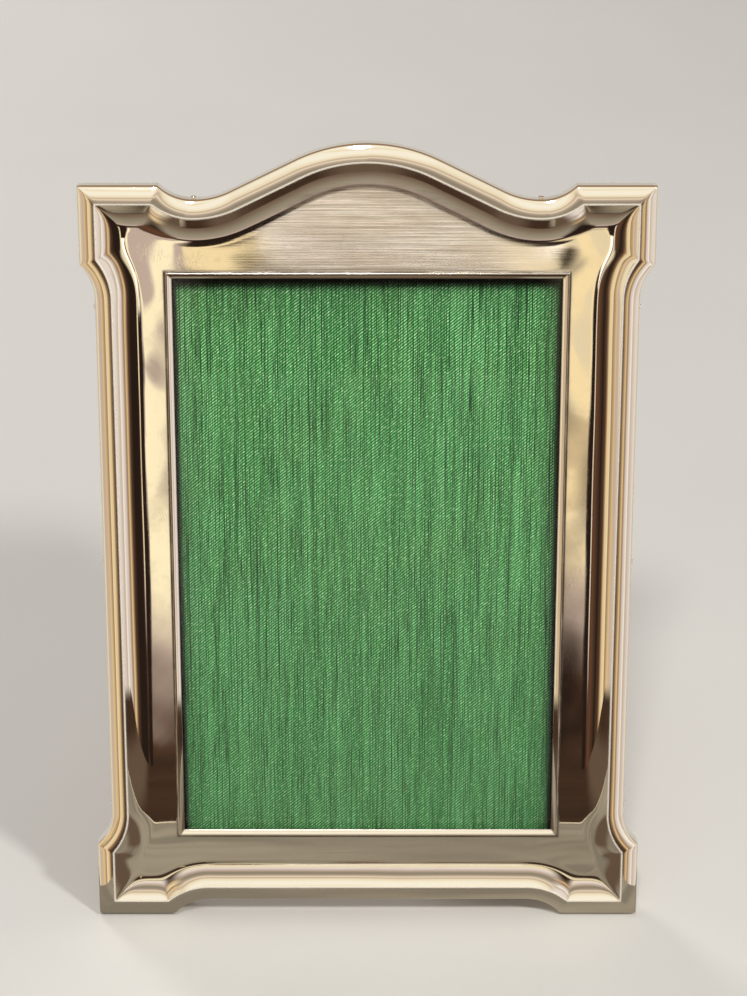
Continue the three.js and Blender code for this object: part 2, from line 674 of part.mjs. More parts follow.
// Height of the hinge axis over the surface that the feet stand on
const lean = radians(LEAN);
const axisHeight =
  (HINGE_HEIGHT + FOOT_Z) * Math.cos(lean) - (AXIS_Y + WALL_REAR) * Math.sin(lean);
const toeTilt = radians(OPEN_ANGLE - LEAN);
const STRUT_FRONT = LEAF_THICKNESS + CLEARANCE - KNUCKLE_RADIUS;
const STRUT_REAR = STRUT_FRONT + STRUT_THICKNESS;
const BRACKET_TOP = BRACKET_LENGTH - BRACKET_WIDTH - STAY_ARM;
const bracketScrews = [
  { name: "bracket_screw_upper", level: BRACKET_TOP - BRACKET_WIDTH / 2 },
  { name: "bracket_screw_lower", level: BRACKET_TOP - BRACKET_WIDTH / 2 - BRACKET_SCREW_SPACING },
].map(({ name, level }) => ({
  name,
  seat: at(BRACKET_LEFT + BRACKET_THICKNESS, (STRUT_FRONT + STRUT_REAR) / 2, level),
}));

// The strut about the hinge axis, hanging down: parallel above, flaring to a toe with an arch cut
// out, its end cut to lie flat on the surface.
function strutBoard(holes) {
  const half = STRUT_WIDTH / 2;
  const toe = TOE_WIDTH / 2;
  const end = -axisHeight / Math.cos(toeTilt) - STRUT_THICKNESS;
  const floorLine = -axisHeight / Math.cos(toeTilt);
  const bend = STRUT_FLARE / 2;
  const flareEnd = -STRUT_WAIST - STRUT_FLARE;
  const shape = new THREE.Shape();
  shape.moveTo(-half, -STRUT_TOP_GAP);
  shape.lineTo(-half, -STRUT_WAIST);
  shape.bezierCurveTo(-half, -STRUT_WAIST - bend, -toe, flareEnd + bend, -toe, flareEnd);
  shape.lineTo(-toe, end);
  shape.lineTo(-TOE_ARCH_RADIUS, end);
  shape.lineTo(-TOE_ARCH_RADIUS, floorLine);
  shape.absarc(0, floorLine, TOE_ARCH_RADIUS, Math.PI, 0, true);
  shape.lineTo(TOE_ARCH_RADIUS, end);
  shape.lineTo(toe, end);
  shape.lineTo(toe, flareEnd);
  shape.bezierCurveTo(toe, flareEnd + bend, half, -STRUT_WAIST - bend, half, -STRUT_WAIST);
  shape.lineTo(half, -STRUT_TOP_GAP);
  shape.closePath();
  const board = facePlate(shape, STRUT_FRONT, STRUT_REAR);
  const depth = 2 * TOE_WIDTH;
  const floor = new THREE.BoxGeometry(depth, depth, depth)
    .translate(0, 0, -axisHeight - depth / 2)
    .rotateX(-toeTilt);
  return cut(board, [floor, ...holes]);
}

function addStay(strut) {
  const pivotHole = circle(0, -STAY_ARM, STAY_PIN_RADIUS + CLEARANCE);
  const bracketShape = rectangle(
    -BRACKET_WIDTH / 2 + CLEARANCE,
    -STAY_ARM - BRACKET_WIDTH / 2,
    BRACKET_WIDTH / 2 + CLEARANCE,
    BRACKET_TOP,
  );
  bracketShape.holes.push(pivotHole);
  for (const { seat } of bracketScrews) {
    bracketShape.holes.push(circle(seat.y, seat.z, SCREW_RADIUS + CLEARANCE));
  }
  const bracket = sidePlate(bracketShape, BRACKET_LEFT, BRACKET_LEFT + BRACKET_THICKNESS);
  addPiece(strut, "stay_bracket", bracket, "brass");
  for (const { name, seat } of bracketScrews) addScrew(strut, name, seat, RIGHTWARDS, LONG_SCREW);
  const head = (start) => [
    [STAY_PIN_HEAD_RADIUS, start],
    [STAY_PIN_HEAD_RADIUS, start + STAY_PIN_HEAD],
  ];
  const shank = (start, end) => [
    [STAY_PIN_RADIUS, start],
    [STAY_PIN_RADIUS, end],
    ...head(end),
    [0, end + STAY_PIN_HEAD],
  ];
  const pivot = [[0, BRACKET_LEFT], ...shank(BRACKET_LEFT, LINK_RIGHT + CLEARANCE)];
  addTurned(strut, "stay_pivot_pin", pivot, "brass", at(0, 0, -STAY_ARM), RIGHTWARDS);

  const link = new THREE.Group();
  link.position.set(0, 0, -STAY_ARM);
  link.rotation.x = radians(-2 * OPEN_ANGLE);
  strut.add(link);
  const barRadius = KNUCKLE_RADIUS - STAY_SETBACK;
  const bar = roundedBar(barRadius, barRadius, STAY_ARM);
  bar.holes.push(circle(0, 0, STAY_PIN_RADIUS + CLEARANCE));
  bar.holes.push(circle(STAY_ARM, 0, STAY_PIN_RADIUS + CLEARANCE));
  const barGeometry = sidePlate(bar, LINK_LEFT, LINK_RIGHT).rotateX(-Math.PI / 2);
  addPiece(link, "stay_link", barGeometry, "brass");
  const slideLeft = LINK_LEFT - CLEARANCE - STAY_PIN_HEAD;
  const slideShank = shank(LINK_LEFT - CLEARANCE, KEEPER_RIGHT + CLEARANCE);
  const slide = [[0, slideLeft], ...head(slideLeft), ...slideShank];
  addTurned(link, "stay_slide_pin", slide, "brass", at(0, 0, -STAY_ARM), RIGHTWARDS);
}

// The keeper: an angle on the door whose upright holds the slot of the slide pin.
function addKeeper() {
  const front = FIELD + CLEARANCE;
  const rear = AXIS_Y + SLOT_HALF + KEEPER_HEAD;
  const low = SLOT_BOTTOM - SLOT_HALF - KEEPER_END;
  const high = SLOT_TOP + SLOT_HALF + KEEPER_END;
  const upright = sidePlate(rectangle(front, low, rear, high), KEEPER_LEFT, KEEPER_RIGHT);
  const flange = facePlate(
    rectangle(KEEPER_LEFT, low, KEEPER_RIGHT + KEEPER_FLANGE, high),
    front,
    KEEPER_REAR,
  );
  const slotBar = roundedBar(SLOT_HALF, SLOT_HALF, SLOT_TOP - SLOT_BOTTOM);
  const slot = sidePlate(slotBar, KEEPER_LEFT - OVERRUN, KEEPER_RIGHT + OVERRUN)
    .rotateX(-Math.PI / 2)
    .translate(0, AXIS_Y, SLOT_TOP);
  const holes = keeperScrews.map(({ seat }) => screwHole(seat, REARWARDS, SHORT_SCREW));
  addPiece(group, "stay_keeper", cut(join([upright, flange]), [slot, ...holes]), "brass");
  for (const { name, seat } of keeperScrews) addScrew(group, name, seat, REARWARDS, SHORT_SCREW);
}

function addStrut() {
  const strut = new THREE.Group();
  strut.position.set(0, AXIS_Y, HINGE_HEIGHT);
  strut.rotation.x = radians(OPEN_ANGLE);
  group.add(strut);
  const leafHoles = addHinge(strut);
  const bracketHoles = bracketScrews.map(({ seat }) => screwHole(seat, RIGHTWARDS, LONG_SCREW));
  addPiece(strut, "easel_strut", strutBoard([...leafHoles, ...bracketHoles]), "oak");
  addStay(strut);
}

// Leans the assembly back and sets the middle of its base at the origin.
function stand() {
  group.rotation.x = -lean;
  const box = new THREE.Box3().setFromObject(group, true);
  const middle = box.getCenter(new THREE.Vector3());
  group.position.set(-middle.x, -middle.y, -box.min.z);
}

addSilverFront();
addPins();
addOak();
addLayers();
addDoor();
addButtons();
addStrut();
addKeeper();
stand();

export default new THREE.Group().add(group);
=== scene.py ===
"""Looks of a standing photograph frame: pressed silver on oak, glass over green satin, a brass stay.

Sizes are in metres. Pieces are drawn about the middle of the sight opening, as x across the face,
y back from the rear plane of the oak and z up the face, and are then leaned back with the frame.
"""
import json
import math

import bpy
import numpy as np
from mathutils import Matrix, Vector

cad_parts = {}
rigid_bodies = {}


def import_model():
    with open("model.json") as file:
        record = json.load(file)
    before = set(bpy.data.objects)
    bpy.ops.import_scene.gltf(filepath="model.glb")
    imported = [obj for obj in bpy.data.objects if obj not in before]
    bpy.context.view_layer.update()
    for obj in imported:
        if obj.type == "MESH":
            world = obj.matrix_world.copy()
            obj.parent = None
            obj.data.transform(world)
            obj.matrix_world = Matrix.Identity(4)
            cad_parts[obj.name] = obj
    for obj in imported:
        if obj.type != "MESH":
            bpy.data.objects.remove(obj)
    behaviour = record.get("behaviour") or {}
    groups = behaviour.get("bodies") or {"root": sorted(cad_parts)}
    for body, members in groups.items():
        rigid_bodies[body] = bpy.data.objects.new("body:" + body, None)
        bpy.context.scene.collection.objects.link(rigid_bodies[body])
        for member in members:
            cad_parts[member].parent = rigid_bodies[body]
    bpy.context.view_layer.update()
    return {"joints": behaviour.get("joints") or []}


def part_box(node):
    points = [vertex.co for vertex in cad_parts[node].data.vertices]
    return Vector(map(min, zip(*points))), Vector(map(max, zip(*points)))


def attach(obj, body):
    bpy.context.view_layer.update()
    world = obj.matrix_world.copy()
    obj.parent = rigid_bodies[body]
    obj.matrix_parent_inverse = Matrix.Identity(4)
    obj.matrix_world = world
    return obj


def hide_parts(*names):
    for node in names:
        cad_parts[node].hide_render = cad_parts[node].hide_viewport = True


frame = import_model()

MM = 0.001

# Outline of the face
SIGHT_WIDTH = 98 * MM  # between the crests of the sight bead
SIGHT_HEIGHT = 149.5 * MM
SIDE_RAIL = 17.5 * MM  # sight crest to outer edge
END_RAIL = 18.3 * MM
EAR_STEP = 3.5 * MM
EAR_LENGTH = 19.5 * MM
FOOT_STEP = 4 * MM
FOOT_LENGTH = 20 * MM
HOLLOW_RADIUS = 12 * MM
CROWN_RISE = 13.7 * MM
ARCH_SLOPE = math.radians(26)
CROWN_TO_TROUGH = 2

# Moulding of the silver
SHEET = 0.5 * MM
WALL_DEPTH = 4.2 * MM
EDGE_ROUND = 0.5 * MM
BEAD_WIDTH = 4.3 * MM
BEAD_FOOT_RISE = 1 * MM
BEAD_BULGE = 0.15 * MM
RIDGE_RISE = 2.4 * MM
RIDGE_SOFTNESS = 0.08 * MM
COVE_WIDTH = 6.9 * MM
SIGHT_BEAD_WIDTH = 0.55 * MM
SIGHT_BEAD_RISE = 0.32 * MM
SIGHT_LIP = 1.3 * MM
LIP_FALL = 0.75 * MM  # crest of the sight bead down to the front of the lip
LIP_BEND = 1.2  # power of the run by which the lip falls

# Layers behind the silver
CLEARANCE = 0.3 * MM
MARGIN_RECESS = 0.2 * MM
MARGIN_THICKNESS = 2 * MM
FIELD_RISE = 1.5 * MM
MARGIN_WIDTH = 9 * MM
FIELD_BEVEL = 2.5 * MM
CARD_THICKNESS = 1 * MM
FABRIC_THICKNESS = 0.6 * MM
GLASS_THICKNESS = 2 * MM
SIGHT_OVERLAP = 1.8 * MM
POCKET_PLAY = 0.5 * MM
DOOR_LEDGE = 3.5 * MM
OAK_CHAMFER = 2 * MM

# Pins, buttons and screws
PIN_SETBACK = 2.5 * MM
PIN_INSET = 1.2 * MM
PIN_RADIUS = 0.4 * MM
PIN_LENGTH = 5 * MM
PIN_HEAD_RADIUS = 0.7 * MM
PIN_HEAD_RISE = 0.25 * MM
BUTTON_HEIGHT = 45 * MM
BUTTON_SETBACK = 3.8 * MM
BUTTON_RADIUS = 3 * MM
BUTTON_TIP_RADIUS = 1.8 * MM
BUTTON_REACH = 5.2 * MM
BUTTON_THICKNESS = 1 * MM
SCREW_RADIUS = 0.8 * MM
SCREW_HEAD_RADIUS = 1.7 * MM
SCREW_HEAD_RISE = 0.8 * MM
SCREW_SLOT = 0.22 * MM  # half the width of the slot
SCREW_SLOT_DEPTH = 0.45 * MM
LONG_SCREW = 5 * MM
SHORT_SCREW = 3.2 * MM

# Strut, hinge and stay
LEAN = math.radians(13)
OPEN_ANGLE = math.radians(22)
FOLDED_ANGLE = math.radians(1.5)
HINGE_HEIGHT = 52.8 * MM
LEAF_THICKNESS = 0.8 * MM
LEAF_WIDTH = 26 * MM
LEAF_LENGTH = 14 * MM
KNUCKLE_RADIUS = 2.4 * MM
MIDDLE_KNUCKLE = 9 * MM
HINGE_PIN_RADIUS = 1 * MM
HINGE_SCREW_SPACING = 16 * MM
HINGE_SCREW_DROP = 9 * MM
STRUT_WIDTH = 26 * MM
STRUT_THICKNESS = 4.6 * MM
STRUT_TOP_GAP = 3.2 * MM
STRUT_WAIST = 100 * MM
STRUT_FLARE = 34 * MM
TOE_WIDTH = 46 * MM
TOE_ARCH_RADIUS = 9.5 * MM
STAY_ARM = 45 * MM
STAY_SETBACK = 0.2 * MM
STAY_THICKNESS = 1 * MM
STAY_PIN_RADIUS = 0.8 * MM
STAY_PIN_HEAD_RADIUS = 1.4 * MM
STAY_PIN_HEAD = 0.5 * MM
BRACKET_LENGTH = 18 * MM
BRACKET_WIDTH = 4 * MM
BRACKET_THICKNESS = 0.8 * MM
BRACKET_SCREW_SPACING = 6 * MM
KEEPER_THICKNESS = 0.8 * MM
KEEPER_FLANGE = 8 * MM
KEEPER_END = 4 * MM
KEEPER_HEAD = 1.5 * MM

# Heights above the oak's rear plane
LEDGE = MARGIN_RECESS + MARGIN_THICKNESS + CLEARANCE
FABRIC_REAR = LEDGE + CARD_THICKNESS + CLEARANCE
GLASS_REAR = FABRIC_REAR + FABRIC_THICKNESS + CLEARANCE
LIP_REAR = GLASS_REAR + GLASS_THICKNESS + CLEARANCE
PANEL = LIP_REAR + CLEARANCE + SHEET
BEAD_FOOT = PANEL + BEAD_FOOT_RISE
RIDGE = PANEL + RIDGE_RISE
WALL_REAR = BEAD_FOOT - WALL_DEPTH

# Lines of the outline
RAIL_X = SIGHT_WIDTH / 2 + SIDE_RAIL
RAIL_Z = SIGHT_HEIGHT / 2 + END_RAIL
EAR_X = RAIL_X + EAR_STEP
EAR_Z = RAIL_Z + EAR_STEP
FOOT_X = RAIL_X + FOOT_STEP
FOOT_Z = RAIL_Z + FOOT_STEP
CROWN_Z = RAIL_Z + CROWN_RISE
COVE_END = BEAD_WIDTH + COVE_WIDTH
PANEL_END = SIDE_RAIL - SIGHT_BEAD_WIDTH
LIP_END = SIDE_RAIL + SIGHT_LIP
OAK_INSET = SHEET + CLEARANCE
GLASS_X = SIGHT_WIDTH / 2 + SIGHT_OVERLAP
GLASS_Z = SIGHT_HEIGHT / 2 + SIGHT_OVERLAP
POCKET_OUTSET = SIGHT_OVERLAP + POCKET_PLAY
REBATE_OUTSET = POCKET_OUTSET + DOOR_LEDGE
DOOR_X = SIGHT_WIDTH / 2 + REBATE_OUTSET - POCKET_PLAY
DOOR_Z = SIGHT_HEIGHT / 2 + REBATE_OUTSET - POCKET_PLAY

# Depths behind the oak's rear plane and places across, for what is fixed to the door
FIELD = FIELD_RISE - MARGIN_RECESS
LEAF_FRONT = FIELD + CLEARANCE
LEAF_REAR = LEAF_FRONT + LEAF_THICKNESS
AXIS_Y = LEAF_FRONT + KNUCKLE_RADIUS
BUTTON_REAR = CLEARANCE + BUTTON_THICKNESS
BRACKET_LEFT = STRUT_WIDTH / 2 + CLEARANCE
BRACKET_RIGHT = BRACKET_LEFT + BRACKET_THICKNESS
LINK_LEFT = BRACKET_RIGHT + CLEARANCE
LINK_RIGHT = LINK_LEFT + STAY_THICKNESS
KEEPER_LEFT = LINK_RIGHT + CLEARANCE
KEEPER_RIGHT = KEEPER_LEFT + KEEPER_THICKNESS
KEEPER_FRONT = FIELD + CLEARANCE
KEEPER_REAR = KEEPER_FRONT + KEEPER_THICKNESS
SLOT_TOP = HINGE_HEIGHT - 2 * STAY_ARM * math.cos(OPEN_ANGLE)
SLOT_BOTTOM = HINGE_HEIGHT - 2 * STAY_ARM * math.cos(FOLDED_ANGLE)
SLOT_HALF = STAY_PIN_RADIUS + CLEARANCE
STRUT_FRONT = LEAF_THICKNESS + CLEARANCE - KNUCKLE_RADIUS
STRUT_REAR = STRUT_FRONT + STRUT_THICKNESS
BRACKET_TOP = BRACKET_LENGTH - BRACKET_WIDTH - STAY_ARM

# Directions that a shape drawn as across, up and out can be turned to: rows are its three axes
FRONT = np.array([[1, 0, 0], [0, 0, 1], [0, -1, 0]])
REAR = np.array([[0, 0, 1], [1, 0, 0], [0, 1, 0]])
RIGHT = np.array([[0, 1, 0], [0, 0, 1], [1, 0, 0]])
LEFT = np.array([[0, 0, 1], [0, 1, 0], [-1, 0, 0]])
UP = np.array([[1, 0, 0], [0, 1, 0], [0, 0, 1]])
DOWN = np.array([[0, 1, 0], [1, 0, 0], [0, 0, -1]])


def joint_place(name):
    """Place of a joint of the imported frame."""
    return np.array(next(joint["pos_m"] for joint in frame["joints"] if joint["name"] == name))


def face_origin():
    """Middle of the sight on the oak's rear plane, found from the middle of the glass in front of it."""
    low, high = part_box("glass_pane")
    depth = GLASS_REAR + GLASS_THICKNESS / 2
    return (np.array(low) + np.array(high)) / 2 + depth * np.array([0, math.cos(LEAN), -math.sin(LEAN)])


# Origin and tilt of the face, of the strut about its hinge and of the stay about its pivot
FACE = (face_origin(), -LEAN)
STRUT = (joint_place("strut_fold"), OPEN_ANGLE - LEAN)
STAY = (joint_place("stay_turn"), -OPEN_ANGLE - LEAN)


def placed(points, place):
    """Points turned by a tilt about the across axis and moved to an origin."""
    origin, tilt = place
    x, y, z = np.moveaxis(np.asarray(points), -1, 0)
    turned_y = y * math.cos(tilt) - z * math.sin(tilt)
    turned_z = y * math.sin(tilt) + z * math.cos(tilt)
    return np.stack([x, turned_y, turned_z], axis=-1) + origin


# Camera

FOCAL_PIXELS = 2600
PHOTO_HEIGHT = 996
CAMERA_TILT = math.radians(17.792)  # axis from the normal of the face
CAMERA_AIM = (1.498 * MM, 17.729 * MM)  # where the axis meets a plane just above the panel
CAMERA_PLANE = PANEL + 0.8 * MM
CAMERA_REACH = 649.216 * MM
SENSOR = 36


def make_camera():
    """Camera on a line that leaves the face at the tilt; the long side of the picture spans the sensor."""
    rise = CAMERA_PLANE + CAMERA_REACH * math.cos(CAMERA_TILT)
    up = CAMERA_AIM[1] + CAMERA_REACH * math.sin(CAMERA_TILT)
    data = bpy.data.cameras.new("camera")
    data.sensor_width = SENSOR
    data.lens = FOCAL_PIXELS * SENSOR / PHOTO_HEIGHT
    camera = bpy.data.objects.new("camera", data)
    camera.location = placed([CAMERA_AIM[0], -rise, up], FACE)
    camera.rotation_euler = (math.pi / 2 - LEAN - CAMERA_TILT, 0, 0)
    bpy.context.scene.collection.objects.link(camera)
    bpy.context.scene.camera = camera


make_camera()


# Surfaces

CREASE = math.radians(40)  # the sharpest bend that is shaded smooth


def mark(mesh, name, values):
    """Keeps one value for each point of a mesh, for its material to read."""
    made = mesh.attributes.new(name, "FLOAT", "POINT")
    made.data.foreach_set("value", values.astype(np.float32).ravel())


class Shell:
    """Closed surfaces gathered into one mesh, with one value kept for each point."""

    def __init__(self):
        self.points, self.faces, self.values = [], [], []
        self.count = 0

    def add(self, rows, place, loop=False, value=0.0):
        """Joins rings of points row after row; the last meets the first, or both ends are capped."""
        levels, around = rows.shape[:2]
        index = self.count + np.arange(levels * around).reshape(levels, around)
        below = index if loop else index[:-1]
        above = np.roll(index, -1, axis=0) if loop else index[1:]
        corners = [below, np.roll(below, -1, axis=1), np.roll(above, -1, axis=1), above]
        self.faces += np.stack(corners, axis=-1).reshape(-1, 4).tolist()
        if not loop:
            self.faces += [index[0, ::-1].tolist(), index[-1].tolist()]
        self.points.append(placed(rows, place).reshape(-1, 3))
        self.values.append(np.broadcast_to(value, (levels, around)).ravel())
        self.count += levels * around
        return self

    def piece(self, name, body, finish, *replaced):
        """One object from the gathered surfaces, in a finish and riding on a body."""
        material, slot = finish
        mesh = bpy.data.meshes.new(name)
        mesh.from_pydata(np.concatenate(self.points), [], self.faces)
        mark(mesh, "edge", np.concatenate(self.values))
        mesh.shade_smooth()
        mesh.set_sharp_from_angle(angle=CREASE)
        mesh.materials.append(material)
        made = bpy.data.objects.new(name, mesh)
        bpy.context.scene.collection.objects.link(made)
        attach(made, body)
        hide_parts(*replaced)
        return made


def worked(node, body, place, finish, *shapes):
    """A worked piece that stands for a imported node, gathered from shapes that share a place."""
    shell = Shell()
    for shape in shapes:
        shell.add(**shape, place=place)
    shell.piece(f"{node}_worked", body, finish, node)


def line(start, end, steps):
    """Points along a straight, closer together towards its ends by a cosine; the last is left out."""
    share = (1 - np.cos(np.linspace(0, math.pi, steps, endpoint=False))) / 2
    return np.outer(1 - share, start) + np.outer(share, end)


def arc(centre, radius, start, end, steps):
    """Points at even angles on a circle; the last is left out."""
    angle = np.linspace(start, end, steps, endpoint=False)
    return np.asarray(centre) + radius * np.stack([np.cos(angle), np.sin(angle)], axis=-1)


def circle(radius, steps):
    """A ring of points about the origin."""
    return arc((0, 0), radius, 0, 2 * math.pi, steps)


CORNER_STEPS = 4  # steps round the corner of a plate


def rectangle(left, low, right, high, corner):
    """A rectangle whose corners are quarter circles."""
    quarter = math.pi / 2
    centres = [(right - corner, low + corner), (right - corner, high - corner),
               (left + corner, high - corner), (left + corner, low + corner)]
    return np.concatenate([
        arc(centre, corner, (i - 1) * quarter, i * quarter + quarter / CORNER_STEPS, CORNER_STEPS + 1)
        for i, centre in enumerate(centres)
    ])


def rounded_bar(start_radius, end_radius, length, steps=24):
    """Two circles of their own radii joined by their outer tangents, along the first axis."""
    turn = math.acos((start_radius - end_radius) / length)
    step = math.pi / steps
    return np.concatenate([
        arc((0, 0), start_radius, turn, 2 * math.pi - turn + step, steps + 1),
        arc((length, 0), end_radius, -turn, turn + step, steps + 1),
    ])


def inset_ring(ring, distance):
    """A ring moved inwards: each point goes along the mitre of the normals of its two sides."""
    after = np.roll(ring, -1, axis=0) - ring
    after /= np.linalg.norm(after, axis=1, keepdims=True)
    before = np.roll(after, 1, axis=0)
    normals = [np.stack([-side[:, 1], side[:, 0]], axis=-1) for side in (before, after)]
    mitre = normals[0] + normals[1]
    return ring + distance * mitre * 2 / (mitre ** 2).sum(axis=1, keepdims=True)


ROUND_ROWS = 4  # rows of a rounded edge
RIM_INSET = 1.5  # inset of the rim kept on a board's faces, in radii of its edge


def rounding(radius, low, high):
    """Insets and levels of a board's side: a quarter round from its low face and one into its high face."""
    angle = np.linspace(0, math.pi / 2, ROUND_ROWS)
    inset = radius * (1 - np.sin(angle))
    level = radius * (1 - np.cos(angle))
    return np.concatenate([inset, inset[::-1]]), np.concatenate([low + level, high - level[::-1]])


def ring_rows(rings, levels):
    """Rings set at their levels, as rows of across, up and out."""
    rows = [np.column_stack([ring, np.full(len(ring), level)]) for ring, level in zip(rings, levels)]
    return np.stack(rows)


def ringed(sections, loop=False):
    """A shape of the face from its sections: a ring, its level and its wear."""
    rings, levels, wear = zip(*sections)
    return {"rows": ring_rows(rings, levels) @ FRONT, "loop": loop, "value": np.array(wear)[:, None]}


def board(outline, low, high, radius, face, at=(0, 0, 0)):
    """A flat board from its outline, with rounded edges and a narrow rim kept on both faces."""
    insets, levels = rounding(radius, low, high)
    insets = np.concatenate([[RIM_INSET * radius], insets, [RIM_INSET * radius]])
    levels = np.concatenate([[low], levels, [high]])
    value = np.ones(len(insets))
    value[[0, -1]] = 0
    rows = ring_rows([inset_ring(outline, inset) for inset in insets], levels)
    return {"rows": rows @ face + np.array(at), "value": value[:, None]}


def pierced_board(outline, hole, low, high, radius, face):
    """A flat board round a hole: up its rounded outside and down the rounded inside of the hole."""
    insets, levels = rounding(radius, low, high)
    outside = [inset_ring(outline, inset) for inset in insets]
    inside = [inset_ring(hole, -inset) for inset in insets[::-1]]
    rows = ring_rows(outside + inside, np.concatenate([levels, levels[::-1]]))
    return {"rows": rows @ face, "loop": True, "value": 1.0}


TURNED_STEPS = 40
DOME_STEPS = 7
POLE_RADIUS = 0.01 * MM  # stands for nought where a turned piece closes on its axis


def turned(profile, face, at=(0, 0, 0), loop=False):
    """A turned piece from pairs of radius and level along its axis."""
    profile = np.array(profile)
    ring = circle(1, TURNED_STEPS)
    rows = ring_rows([ring * max(radius, POLE_RADIUS) for radius in profile[:, 0]], profile[:, 1])
    return {"rows": rows @ face + np.array(at), "loop": loop}


def dome(radius, rise, start):
    """Quarter of an ellipse from a rim to its crown, as pairs of radius and level."""
    angle = np.linspace(0, math.pi / 2, DOME_STEPS)
    return np.column_stack([radius * np.cos(angle), start + rise * np.sin(angle)])


def barrel(radius, hole, start, end, rim, face, at):
    """A tube along its axis with the rims of its ends rounded off."""
    angle = np.linspace(0, math.pi / 2, ROUND_ROWS)
    first = np.column_stack([radius - rim + rim * np.sin(angle), start + rim - rim * np.cos(angle)])
    last = np.column_stack([first[::-1, 0], start + end - first[::-1, 1]])
    profile = np.concatenate([[[hole, start]], first, last, [[hole, end]]])
    return turned(profile, face, at, loop=True)


HEAD_CHORDS = 9  # chords on each side of a screw's slot
FIRST_CHORD = 0.12  # place of the chord next to the slot, in quarter turns
LAST_CHORD = 0.995  # place of the outermost chord, in radii of the head
CHORD_STEPS = 17
SLOT_WALL = 0.02 * MM  # how far the slot's walls lean in
HEAD_RIM = 0.22  # share of the head's rise that stands upright at its rim
HEAD_FLOOR = 0.1  # share of the rise that the slot leaves
HEAD_WEAR = 0.6


def slotted_head(turn, face, at):
    """A domed screw head with a slot: chords side by side, each up over the dome and back underneath."""
    radius, rise = SCREW_HEAD_RADIUS, SCREW_HEAD_RISE
    slot = np.array([-SCREW_SLOT, -SCREW_SLOT + SLOT_WALL, SCREW_SLOT - SLOT_WALL, SCREW_SLOT])
    wing = radius * np.sin(np.linspace(FIRST_CHORD, 1, HEAD_CHORDS) * math.pi / 2) * LAST_CHORD
    chords = np.concatenate([-wing[::-1], slot, wing])
    sunk = np.zeros(len(chords))
    sunk[HEAD_CHORDS + 1:HEAD_CHORDS + 3] = SCREW_SLOT_DEPTH
    share = np.sin(np.linspace(-1, 1, CHORD_STEPS) * math.pi / 2)
    across = np.outer(np.sqrt(radius ** 2 - chords ** 2), share)
    along = np.repeat(chords[:, None], CHORD_STEPS, axis=1)
    reach = np.clip(1 - (across ** 2 + along ** 2) / radius ** 2, 0, 1)
    top = rise * (HEAD_RIM + (1 - HEAD_RIM) * np.sqrt(reach)) - sunk[:, None]
    level = np.concatenate([np.maximum(top, HEAD_FLOOR * rise), np.zeros_like(top)], axis=1)
    across, along = (np.concatenate([side, side[:, ::-1]], axis=1) for side in (across, along))
    rows = np.stack([across * math.cos(turn) - along * math.sin(turn),
                     across * math.sin(turn) + along * math.cos(turn), level], axis=-1)
    return {"rows": rows @ face + np.array(at), "value": HEAD_WEAR}


# Outline of the face

def hollow_run(step, inset):
    """Length of a hollow curve along its rail: a side of the right triangle that its radius spans."""
    radius = HOLLOW_RADIUS + inset
    return math.sqrt(radius ** 2 - (radius - step) ** 2)


FOOT_HOLLOW_X = FOOT_X - FOOT_LENGTH - hollow_run(FOOT_STEP, 0)
FOOT_HOLLOW_Z = FOOT_Z - FOOT_LENGTH - hollow_run(FOOT_STEP, 0)
EAR_HOLLOW_Z = EAR_Z - EAR_LENGTH - hollow_run(EAR_STEP, 0)
TROUGH_X = EAR_X - EAR_LENGTH - hollow_run(EAR_STEP, 0)
ARCH_RADII = (TROUGH_X - CROWN_RISE / math.tan(ARCH_SLOPE)) / math.tan(ARCH_SLOPE / 2)
TROUGH_RADIUS = ARCH_RADII / (1 + CROWN_TO_TROUGH)
CROWN_RADIUS = ARCH_RADII - TROUGH_RADIUS
HOLLOW_STEPS = 16
EAR_STEPS = 13  # along each side of an ear or foot
TROUGH_STEPS = 14
SLOPE_STEPS = 6
CROWN_STEPS = 22
BOTTOM_STEPS = 14
SIDE_STEPS = 40


